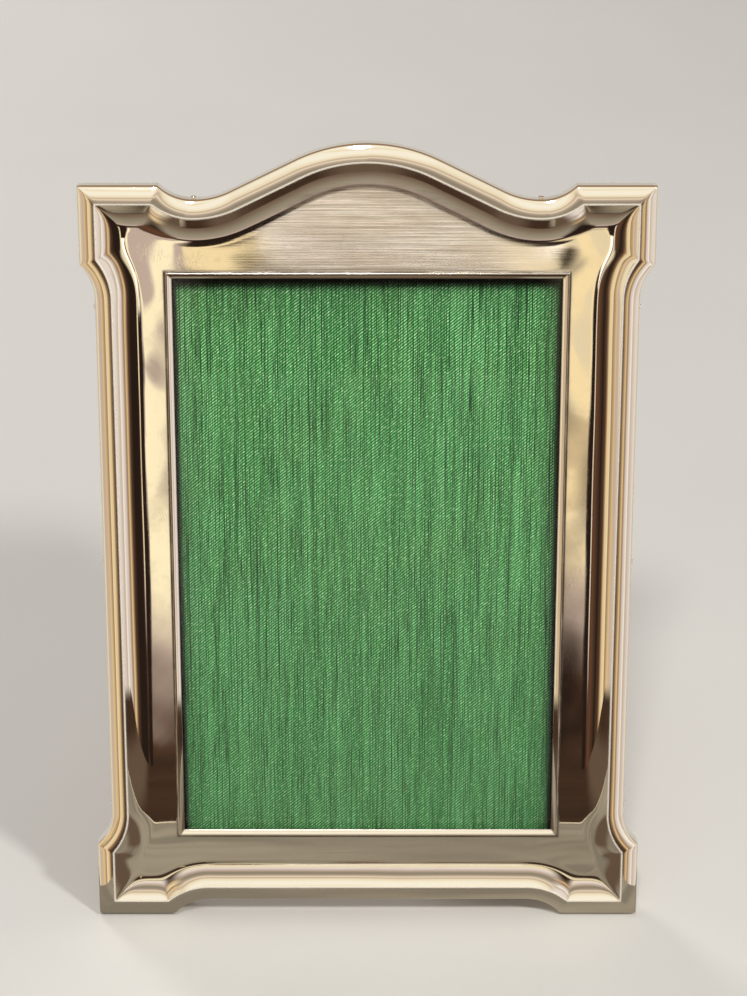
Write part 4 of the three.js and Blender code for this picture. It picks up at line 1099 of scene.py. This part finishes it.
def make_satin():
    """Cloth drawn over its card: a gently uneven front that turns down round the edges to a flat back."""
    lip_x, lip_z = SIGHT_WIDTH / 2 - SIGHT_LIP, SIGHT_HEIGHT / 2 - SIGHT_LIP
    lines = satin_lines(GLASS_X, lip_x, SATIN_STEPS[0]), satin_lines(GLASS_Z, lip_z, SATIN_STEPS[1])
    x, z = np.meshgrid(*lines, indexing="ij")
    level = FABRIC_REAR + FABRIC_THICKNESS - SATIN_SINK + unevenness(x, z, **SATIN_WAVES)
    over = np.stack([x, z, level], axis=-1)
    under = np.stack([x, z, np.full_like(x, FABRIC_REAR)], axis=-1)[::-1]
    count = x.shape[1]
    rim = np.stack([np.full(count, GLASS_X), z[0], np.full(count, FABRIC_REAR + SATIN_TURN)], axis=-1)[None]
    rows = np.concatenate([over, rim, under, rim * (-1, 1, 1)]).swapaxes(0, 1)
    inwards = np.minimum(lip_x - np.abs(rows[..., 0]), (lip_z - rows[..., 1]) / SATIN_TOP_SHADE)
    # Painted shadow of the lip: full up to half the width inside the lip and gone at one and a half; a
    # fainter tail reaches further in
    shade = np.clip(1.5 - inwards / SATIN_SHADE, 0, 1) ** 0.7
    shade = np.maximum(shade, 0.5 * np.exp(-np.maximum(inwards, 0) / (2 * SATIN_SHADE)))
    shell = Shell().add(rows @ FRONT, FACE, value=shade)
    piece = shell.piece("satin_cloth", "frame", SATIN, "fabric_panel")


make_silver()
make_pins()
make_satin()


# Oak: carcass, door and strut

OAK_SOFT = 0.3 * MM  # softened corners of the door and of the rebate
REAR_BEVEL = (0.5 * MM, 0.1 * MM)  # width and drop of the rear face's outer edge
STRUT_CORNER = 2.5 * MM
STRUT_EDGE = 0.6 * MM


def make_carcass():
    """Oak behind the silver: up its outside, over its front, down into pocket and rebate, and out again."""
    width, drop = REAR_BEVEL
    worked("oak_carcass", "frame", FACE, FACE_OAK, ringed([
        (outline_ring(OAK_INSET), WALL_REAR, 0), (outline_ring(OAK_INSET), LIP_REAR, 0),
        (sight_ring(POCKET_OUTSET), LIP_REAR, 0), (sight_ring(POCKET_OUTSET), LEDGE, 0),
        (sight_ring(REBATE_OUTSET), LEDGE, 0), (sight_ring(REBATE_OUTSET), 0, 1),
        (sight_ring(REBATE_OUTSET + OAK_SOFT), 0, 0), (outline_ring(OAK_INSET + OAK_CHAMFER + width), 0, 0),
        (outline_ring(OAK_INSET + OAK_CHAMFER), drop, 1),
    ], loop=True))


def make_door():
    """Fielded door: rectangles from the raised field down its bevel to the margin and round to the front."""
    field, soft = MARGIN_WIDTH + FIELD_BEVEL, OAK_SOFT
    corners = np.array([(-1, -1), (1, -1), (1, 1), (-1, 1)])
    sections = [
        (field + 2 * soft, -FIELD, 0), (field + soft, -FIELD, 1), (field - soft, -FIELD + soft, 1),
        (MARGIN_WIDTH + soft, MARGIN_RECESS - soft, 0), (MARGIN_WIDTH, MARGIN_RECESS, 0),
        (soft, MARGIN_RECESS, 0), (0, MARGIN_RECESS + soft, 1), (0, MARGIN_RECESS + MARGIN_THICKNESS, 0),
    ]
    rings = [(corners * (DOOR_X - inset, DOOR_Z - inset), level, wear) for inset, level, wear in sections]
    worked("back_door", "frame", FACE, FACE_OAK, ringed(rings))


def strut_outline(floor):
    """Strut from the front: parallel above, flaring by a cubic curve to a toe with a round arch cut out."""
    half, toe, top = STRUT_WIDTH / 2, TOE_WIDTH / 2, -STRUT_TOP_GAP
    t = np.linspace(0, 1, 24, endpoint=False)
    flare_x = half + (toe - half) * (3 * t ** 2 - 2 * t ** 3)
    flare_z = -STRUT_WAIST - STRUT_FLARE * (1.5 * t - 1.5 * t ** 2 + t ** 3)
    right = np.concatenate([
        line((0, top), (half - STRUT_CORNER, top), 6),
        arc((half - STRUT_CORNER, top - STRUT_CORNER), STRUT_CORNER, math.pi / 2, 0, 8),
        line((half, top - STRUT_CORNER), (half, -STRUT_WAIST), 20),
        np.column_stack([flare_x, flare_z]),
        line((toe, -STRUT_WAIST - STRUT_FLARE), (toe, floor), 3),
        line((toe, floor), (TOE_ARCH_RADIUS, floor), 4),
        arc((0, floor), TOE_ARCH_RADIUS, 0, math.pi / 2, 12),
        np.array([[0, floor + TOE_ARCH_RADIUS]]),
    ])
    return mirrored(right)[::-1]


def make_strut():
    """Oak strut: a board with rounded edges, whose toe is cut level where it stands."""
    origin, tilt = STRUT
    outline = strut_outline(-origin[2] / math.cos(tilt) - STRUT_THICKNESS * math.sin(tilt))
    shape = board(outline, -STRUT_REAR, -STRUT_FRONT, STRUT_EDGE, FRONT)
    rows = shape["rows"]
    floor = (-origin[2] - rows[..., 1] * math.sin(tilt)) / math.cos(tilt)
    rows[..., 2] = np.maximum(rows[..., 2], floor)
    worked("easel_strut", "strut", STRUT, STRUT_OAK, shape)


make_carcass()
make_door()
make_strut()


# Brass: buttons, hinge, stay and screws

BUTTON_EDGE = 0.3 * MM
LINK_EDGE = 0.2 * MM
PLATE_EDGE = 0.15 * MM
THIN_EDGE = 0.1 * MM
KNUCKLE_RIM = 0.25 * MM
LEAF_CORNER = 1 * MM
TAB_CORNER = 0.4 * MM
TAB_OVERLAP = 0.5 * MM  # how far a knuckle's tab runs into its leaf
BRACKET_CORNER = 1.2 * MM
KEEPER_CORNER = 0.6 * MM
PIN_CAP = 0.4 * MM  # domed ends of the hinge pin
screw_turns = np.random.default_rng(5)


def make_screw(node, body, seat, face, place, length):
    """A domed, slotted screw on its shank, standing a clearance off its seat."""
    at = np.array(seat) + CLEARANCE * face[2]
    head = slotted_head(screw_turns.uniform(0, math.pi), face, at)
    top = HEAD_FLOOR * SCREW_HEAD_RISE
    shank = [[0, -length], [SCREW_RADIUS, SCREW_RADIUS - length], [SCREW_RADIUS, top]]
    worked(node, body, place, BRASS, head, turned(shank, face, at))


def make_buttons():
    """Four turn buttons, each a bar with two round ends on its own screw."""
    bar = rounded_bar(BUTTON_RADIUS, BUTTON_TIP_RADIUS, BUTTON_REACH)
    across = SIGHT_WIDTH / 2 + REBATE_OUTSET + BUTTON_SETBACK
    for side, hand in ((1, "right"), (-1, "left")):
        for level, height in ((1, "upper"), (-1, "lower")):
            x, z = side * across, level * BUTTON_HEIGHT
            shape = board(bar * -side, -BUTTON_REAR, -CLEARANCE, BUTTON_EDGE, FRONT, (x, 0, z))
            worked(f"turn_button_{height}_{hand}", f"button_{height}_{hand}", FACE, BRASS, shape)
            seat = (x, BUTTON_REAR, z)
            make_screw(f"turn_button_screw_{height}_{hand}", "frame", seat, REAR, FACE, LONG_SCREW)


def make_leaf(node, body, place, at, direction, barrels):
    """One hinge leaf: its plate, a tab for each knuckle and the knuckles themselves."""
    def plate(left, start, right, end, corner, edge):
        low, high = sorted((direction * start, direction * end))
        outline = rectangle(left, low, right, high, corner)
        return board(outline, KNUCKLE_RADIUS - LEAF_THICKNESS, KNUCKLE_RADIUS, edge, FRONT, at)

    half, start = LEAF_WIDTH / 2, KNUCKLE_RADIUS + CLEARANCE
    shapes = [plate(-half, start, half, LEAF_LENGTH, LEAF_CORNER, PLATE_EDGE)]
    for left, right in barrels:
        shapes.append(plate(left, 0, right, start + TAB_OVERLAP, TAB_CORNER, THIN_EDGE))
        hole = HINGE_PIN_RADIUS + CLEARANCE / 2
        shapes.append(barrel(KNUCKLE_RADIUS, hole, left, right, KNUCKLE_RIM, RIGHT, at))
    worked(node, body, place, BRASS, *shapes)


def make_hinge():
    """Butt hinge between door and strut, with its pin and the screws of its door leaf."""
    middle = MIDDLE_KNUCKLE / 2
    outer, end = middle + CLEARANCE, LEAF_WIDTH / 2
    axis = (0, AXIS_Y, HINGE_HEIGHT)
    make_leaf("hinge_leaf_door", "frame", FACE, axis, 1, [(-end, -outer), (outer, end)])
    make_leaf("hinge_leaf_strut", "strut", STRUT, (0, 0, 0), -1, [(-middle, middle)])
    cap = dome(HINGE_PIN_RADIUS, PIN_CAP, end - PIN_CAP)
    pin = np.concatenate([cap[::-1] * (1, -1), cap])
    worked("hinge_pin", "frame", FACE, BRASS, turned(pin, RIGHT, axis))
    for side, hand in ((-1, "left"), (1, "right")):
        seat = (side * HINGE_SCREW_SPACING / 2, LEAF_REAR, HINGE_HEIGHT + HINGE_SCREW_DROP)
        make_screw(f"hinge_screw_door_{hand}", "frame", seat, REAR, FACE, SHORT_SCREW)


def make_stay():
    """Folding stay: bracket on the strut, pivot pin, link and the slide pin at the link's end."""
    half, pivot_at = BRACKET_WIDTH / 2, (0, 0, -STAY_ARM)
    plate = rectangle(CLEARANCE - half, -STAY_ARM - half, CLEARANCE + half, BRACKET_TOP, BRACKET_CORNER)
    bracket = board(plate, BRACKET_LEFT, BRACKET_RIGHT, PLATE_EDGE, RIGHT)
    worked("stay_bracket", "strut", STRUT, BRASS, bracket)
    middle = (STRUT_FRONT + STRUT_REAR) / 2
    for step, name in enumerate(("upper", "lower")):
        seat = (BRACKET_RIGHT, middle, BRACKET_TOP - half - step * BRACKET_SCREW_SPACING)
        make_screw(f"bracket_screw_{name}", "strut", seat, RIGHT, STRUT, LONG_SCREW)

    head_start = LINK_RIGHT + CLEARANCE
    head = dome(STAY_PIN_HEAD_RADIUS, STAY_PIN_HEAD, head_start)
    pivot = np.concatenate([[[STAY_PIN_RADIUS, BRACKET_LEFT], [STAY_PIN_RADIUS, head_start]], head])
    worked("stay_pivot_pin", "strut", STRUT, BRASS, turned(pivot, RIGHT, pivot_at))

    radius = KNUCKLE_RADIUS - STAY_SETBACK
    bar = rounded_bar(radius, radius, STAY_ARM)[:, ::-1] * (1, -1)
    worked("stay_link", "stay", STAY, BRASS, board(bar, LINK_LEFT, LINK_RIGHT, LINK_EDGE, RIGHT))
    near = dome(STAY_PIN_HEAD_RADIUS, STAY_PIN_HEAD, 0)[::-1] * (1, -1) + (0, LINK_LEFT - CLEARANCE)
    far = dome(STAY_PIN_HEAD_RADIUS, STAY_PIN_HEAD, KEEPER_RIGHT + CLEARANCE)
    shank = [[STAY_PIN_RADIUS, near[-1, 1]], [STAY_PIN_RADIUS, far[0, 1]]]
    slide = turned(np.concatenate([near, shank, far]), RIGHT, pivot_at)
    worked("stay_slide_pin", "stay", STAY, BRASS, slide)


SLOT_STEPS = 32


def make_keeper():
    """Keeper on the door: a flange with two screws and an upright, pierced by the slot of the slide pin.

    Each point of the upright's outline lies where the ray from the slot's middle through a point of the
    slot meets a rectangle.
    """
    rear = AXIS_Y + SLOT_HALF + KEEPER_HEAD
    low = SLOT_BOTTOM - SLOT_HALF - KEEPER_END
    high = SLOT_TOP + SLOT_HALF + KEEPER_END
    flange = rectangle(KEEPER_LEFT, low, KEEPER_RIGHT + KEEPER_FLANGE, high, KEEPER_CORNER)
    flange = board(flange, -KEEPER_REAR, -KEEPER_FRONT, PLATE_EDGE, FRONT)
    middle = np.array([AXIS_Y, (SLOT_TOP + SLOT_BOTTOM) / 2])
    slot = rounded_bar(SLOT_HALF, SLOT_HALF, SLOT_TOP - SLOT_BOTTOM, SLOT_STEPS)[:, ::-1] * (1, -1)
    slot = slot + (AXIS_Y, SLOT_TOP)
    ray = slot - middle
    room = np.where(ray > 0, (rear, high), (KEEPER_FRONT, low)) - middle
    share = np.abs(room) / np.maximum(np.abs(ray), 0.001 * MM)
    outline = middle + ray * share.min(axis=1, keepdims=True)
    upright = pierced_board(outline, slot, KEEPER_LEFT, KEEPER_RIGHT, THIN_EDGE, RIGHT)
    worked("stay_keeper", "frame", FACE, BRASS, flange, upright)
    for name, z in (("upper", SLOT_TOP), ("lower", SLOT_BOTTOM)):
        seat = (KEEPER_RIGHT + KEEPER_FLANGE / 2, KEEPER_REAR, z)
        make_screw(f"keeper_screw_{name}", "frame", seat, REAR, FACE, SHORT_SCREW)


def dress_node(name, material):
    """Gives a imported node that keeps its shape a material."""
    mesh = bpy.data.objects[name].data
    mesh.materials.clear()
    mesh.materials.append(material)


make_buttons()
make_hinge()
make_stay()
make_keeper()
dress_node("glass_pane", GLASS)
dress_node("backing_card", CARD)
dress_node("hinge_screw_strut_left", BRASS[0])
dress_node("hinge_screw_strut_right", BRASS[0])


# Floor, surroundings and lights

# Colours of the surroundings that metal mirrors
GLARE = (1.0, 0.95, 0.80, 1)
CREAM = (0.88, 0.76, 0.52, 1)
AMBER = (1.0, 0.80, 0.46, 1)
GOLD = (0.80, 0.58, 0.29, 1)
PEARL = (0.82, 0.74, 0.68, 1)
ROSE = (0.56, 0.44, 0.37, 1)
STONE = (0.30, 0.26, 0.19, 1)
TAN = (0.30, 0.19, 0.11, 1)
PEAT = (0.130, 0.085, 0.056, 1)
UMBER = (0.085, 0.045, 0.026, 1)
SOOT = (0.022, 0.013, 0.009, 1)
BACKDROP = (0.65, 0.63, 0.60, 1)  # what the camera sees behind the floor
MIRROR_DIP = math.radians(6)  # how far below the level the flat silver mirrors
# Straight ahead, by height in degrees above the level
UPRIGHT = [
    (-90, PEARL), (-76, ROSE), (-69, PEAT), (-50, PEAT), (-40, (0.20, 0.145, 0.10, 1)), (-28, STONE),
    (-18, (0.38, 0.32, 0.25, 1)), (-14, ROSE), (-12.4, UMBER), (-11.4, SOOT), (-9.8, UMBER),
    (-8, ROSE), (-6, CREAM), (8, CREAM), (14, PEARL), (20, ROSE), (25, STONE), (29, STONE), (33, ROSE),
    (34.5, CREAM), (38, ROSE), (40, CREAM), (46, GLARE), (51, GLARE), (52.5, CREAM), (54, GLARE), (90, CREAM),
]
# Along the level, by degrees to the left and to the right of straight ahead
LEFTWARDS = [
    (0, UMBER), (7, UMBER), (12, (0.13, 0.055, 0.027, 1)), (16, UMBER), (24, SOOT), (31, UMBER), (35, TAN),
    (38, GOLD), (43, CREAM), (46, TAN), (50, GOLD), (54, ROSE), (58, CREAM), (62, CREAM), (64, TAN),
    (68, GLARE), (78, CREAM), (81, SOOT), (85, CREAM), (110, TAN), (180, TAN),
]
RIGHTWARDS = [
    (0, UMBER), (7, UMBER), (9, SOOT), (24, SOOT), (31, UMBER), (34, TAN), (37, GOLD), (40, TAN), (43, ROSE),
    (47, PEARL), (50, GLARE), (51.5, ROSE), (56, PEARL), (62, PEARL), (64, ROSE), (68, GLARE), (78, CREAM),
    (81, SOOT), (85, CREAM), (110, TAN), (180, TAN),
]


def make_world():
    """Even warm-white light; metal mirrors pale walls, shade between them and a dark screen ahead."""
    world = bpy.data.worlds.new("room")
    world.use_nodes = True
    net = Net(world.node_tree)
    way = net.node("TexCoord").outputs["Generated"]
    x, y, z = net.parts(way)
    turn = net.math("DEGREES", net.math("ARCTAN2", x, net.times(y, -1.0)))
    lift = net.math("DEGREES", net.math("ARCSINE", z))
    aside = net.size(turn)
    rightwards = net.ramp(turn, -1.0, 1.0)
    lowered = net.minus(lift, net.times(rightwards, 1.3))

    # Straight ahead: a pale wall with a bright pane at each side and brown patches low on its right
    ahead = net.scale(lowered, UPRIGHT)
    sides = net.mix(rightwards, ROSE, (0.84, 0.70, 0.46, 1))
    pale = net.times(net.ramp(lowered, -8.5, -6.5), net.ramp(lift, 5.5, 4.5))
    ahead = net.mix(pale, ahead, net.mix(net.ramp(aside, 2.6, 3.6), (1.45, 1.31, 1.14, 1), sides))
    waver = net.drawn(way, (3, 1, 14), 2.0)
    edge = net.plus(aside, net.times(net.minus(waver, 0.5), 1.2))
    pane = net.between(edge, 4.15, 4.35, 5.0, 5.3)
    bright = net.mix(rightwards, (1.08, 0.95, 0.64, 1), AMBER)
    ahead = net.mix(net.times(pale, pane), ahead, bright)
    patches = net.noise(way, 22.0, 2.0)
    broken = net.times(pale, net.ramp(patches, 0.45, 0.42, 0.0, 0.45))
    broken = net.times(broken, net.ramp(lift, -1.5, -3.0))
    ahead = net.mix(net.times(broken, rightwards), ahead, TAN)

    # Shade with a slanting edge at the upper left, and a dark screen that the glass mirrors
    slant = net.plus(lift, net.times(turn, -0.27))
    corner = net.between(turn, -3.95, -3.85, -2.3, -2.1)
    corner = net.times(corner, net.times(pale, net.ramp(lift, -1.0, -0.5)))
    ahead = net.mix(net.times(corner, net.ramp(slant, 1.60, 1.66)), ahead, PEAT)
    ahead = net.mix(net.times(corner, net.ramp(slant, 1.66, 1.60)), ahead, AMBER)
    screen = net.times(net.ramp(aside, 4.4, 3.6), net.between(lift, -13.0, -12.0, 0.15, 0.32))
    ahead = net.mix(screen, ahead, SOOT)

    # To both sides: uneven stripes by the angle from where the flat silver mirrors
    strip = net.add("CombineXYZ", {"X": net.times(turn, 0.25), "Y": net.times(lift, 0.03)})
    stripes = net.noise(strip, 1.0, 4.0, 0.6)
    axis = (0.0, -math.cos(MIRROR_DIP), -math.sin(MIRROR_DIP))
    spread = net.math("DEGREES", net.math("ARCCOSINE", net.dot(way, axis)))
    striped = net.plus(spread, net.times(net.minus(stripes, 0.5), 9.0))
    around = net.mix(rightwards, net.scale(striped, LEFTWARDS), net.scale(striped, RIGHTWARDS))
    steep = net.size(net.plus(lift, math.degrees(MIRROR_DIP)))
    level = net.ramp(net.math("DIVIDE", aside, net.plus(steep, 0.5)), 0.6, 1.0)
    room = net.mix(net.times(net.ramp(aside, 6.4, 7.2), level), ahead, around)

    # Grey low down behind, and plain light for all that isn't a mirror
    behind = net.times(net.ramp(y, 0.0, 0.3), net.ramp(lift, 8.0, -4.0))
    room = net.mix(behind, room, (0.60, 0.57, 0.52, 1))
    rays = net.node("LightPath").outputs
    colour = net.mix(rays["Is Glossy Ray"], (0.31, 0.30, 0.285, 1), room)
    colour = net.mix(rays["Is Camera Ray"], colour, BACKDROP)
    net.put(world.node_tree.nodes["Background"], {"Color": colour})
    world.cycles.sampling_method = "NONE"
    bpy.context.scene.world = world


def staged(name, points, faces, material):
    """A surface of the surroundings, which isn't a piece of the part."""
    mesh = bpy.data.meshes.new(name)
    mesh.from_pydata(points, [], faces)
    mesh.materials.append(material)
    made = bpy.data.objects.new(name, mesh)
    bpy.context.scene.collection.objects.link(made)
    return made


NEAR_GAP = 0.4 * MM  # of the sheet above the floor
NEAR_THICKNESS = 0.8 * MM
NEAR_HALF = 90 * MM  # half the width of what the lowest silver mirrors
NEAR_FADE = 68 * MM  # where the ends of the shelf begin to fade
NEAR_START = -20 * MM
NEAR_EDGE = -75 * MM
NEAR_END = -155 * MM
NEAR_HEIGHT = 16 * MM


def near_screen_material():
    """A streaked grey sheet, and a shelf with a stone middle, dark ends and a bright underside."""
    material, net, shader = new_material("near_screen")
    place = net.place()
    across, along, height = net.parts(place)
    apart = net.size(across)
    outer = net.ramp(apart, 46 * MM, 52 * MM)
    raised = net.ramp(height, 1 * MM, 4 * MM)

    streaks = net.drawn(place, (8, 60, 1), 3.0)
    sheet = net.mix(net.ramp(streaks, 0.35, 0.65), (0.23, 0.20, 0.15, 1), (0.36, 0.31, 0.23, 1))
    bare = net.between(along, -84 * MM, -72 * MM, -56 * MM, -44 * MM)
    sheet = net.mix(net.times(bare, net.minus(1.0, outer)), sheet, PEAT)

    gloom = net.mix(streaks, SOOT, UMBER)
    middle = net.mix(net.ramp(net.drawn(place, (28, 28, 90), 3.0), 0.38, 0.56), PEAT, STONE)
    taper = net.plus(net.drawn(place, (150, 12, 12), 2.0), net.times(net.minus(NEAR_HEIGHT, height), 4.0))
    flame = net.times(net.ramp(taper, 0.62, 0.67), net.ramp(across, 0.0, 1 * MM, 0.8, 0.15))
    shelf = net.mix(outer, middle, net.mix(flame, gloom, GOLD))
    under = net.mix(net.ramp(along, NEAR_END, NEAR_EDGE), STONE, CREAM)
    shelf = net.mix(net.ramp(along, NEAR_END + 1 * MM, NEAR_END + 9 * MM), shelf, under)
    top = net.mix(net.ramp(apart, 12 * MM, 46 * MM), PEAT, gloom)
    shelf = net.mix(net.ramp(height, NEAR_HEIGHT + 0.2 * MM, NEAR_HEIGHT + 0.3 * MM), shelf, top)

    faded = net.times(net.ramp(apart, NEAR_FADE, NEAR_HALF), raised)
    glow = net.add("Emission", {"Color": net.mix(raised, sheet, shelf)})
    mixed = net.add("MixShader", {0: faded, 1: glow, 2: net.add("BsdfTransparent")})
    net.put(net.tree.nodes["Material Output"], {"Surface": mixed})
    net.tree.nodes.remove(shader)
    return material


def make_near_screen():
    """What the lowest silver mirrors: a grey sheet on the floor ahead that turns up and back as a shelf."""
    profile = [
        (NEAR_START, NEAR_GAP), (NEAR_END, NEAR_GAP), (NEAR_END, NEAR_HEIGHT), (NEAR_EDGE, NEAR_HEIGHT),
        (NEAR_EDGE, NEAR_HEIGHT + NEAR_THICKNESS), (NEAR_END, NEAR_HEIGHT + NEAR_THICKNESS),
    ]
    points = [(side * NEAR_HALF, *point) for point in profile for side in (-1, 1)]
    faces = [[row, row + 1, row + 3, row + 2] for row in range(0, len(points) - 2, 2)]
    card = staged("near_screen", points, faces, near_screen_material())
    card.visible_camera = False
    card.visible_diffuse = False
    card.visible_shadow = False
    card.visible_transmission = False


FLOOR_RADIUS = 4
FLOOR_SIDES = 64
FLOOR_FADE = (0.5, 2.4)  # stretch over which it takes on the backdrop's brightness


def make_floor():
    """A wide round floor, pale and matt, that metal doesn't mirror and that fades into the backdrop."""
    material, net, shader = new_material("pale_floor")
    place = net.place()
    colour = net.mix(net.noise(place, 9.0, 4.0), (0.72, 0.71, 0.69, 1), (0.78, 0.77, 0.75, 1))
    away = net.node("VectorMath", {0: place}, operation="LENGTH").outputs["Value"]
    seen = net.times(net.ramp(away, *FLOOR_FADE), net.node("LightPath").outputs["Is Camera Ray"])
    glow = net.mix(seen, (0, 0, 0, 1), (0.42, 0.41, 0.395, 1))
    net.put(shader, {"Base Color": colour, "Roughness": 0.7, "Specular IOR Level": 0.2,
                     "Emission Color": glow, "Emission Strength": 1.0})
    points = np.column_stack([circle(FLOOR_RADIUS, FLOOR_SIDES), np.zeros(FLOOR_SIDES)])
    floor = staged("floor", points, [list(range(FLOOR_SIDES))], material)
    floor.visible_glossy = False


LAMP_AIM = (0, 0, 0.1)


def softbox(name, place, size, power, colour, in_metal=True):
    """A round area light at a place, pointed at the part, that metal mirrors or not."""
    data = bpy.data.lights.new(name, "AREA")
    data.shape = "DISK"
    data.size = size
    data.energy = power
    data.color = colour
    lamp = bpy.data.objects.new(name, data)
    away = np.array(place) - LAMP_AIM
    reach = np.linalg.norm(away[:2])
    lamp.location = place
    lamp.rotation_euler = (math.atan2(reach, away[2]), 0, math.atan2(away[0], -away[1]))
    lamp.visible_camera = False
    lamp.visible_glossy = in_metal
    bpy.context.scene.collection.objects.link(lamp)


make_floor()
make_near_screen()
make_world()
softbox("key", (0.80, -0.67, 1.04), 0.16, 8, (1.0, 0.97, 0.92))
softbox("top", (-0.06, -0.65, 1.23), 0.16, 5, (1.0, 0.97, 0.93))
softbox("rear", (-0.55, 0.85, 0.75), 0.35, 4, (1.0, 0.97, 0.93), in_metal=False)

bpy.context.scene.view_settings.view_transform = "Standard"
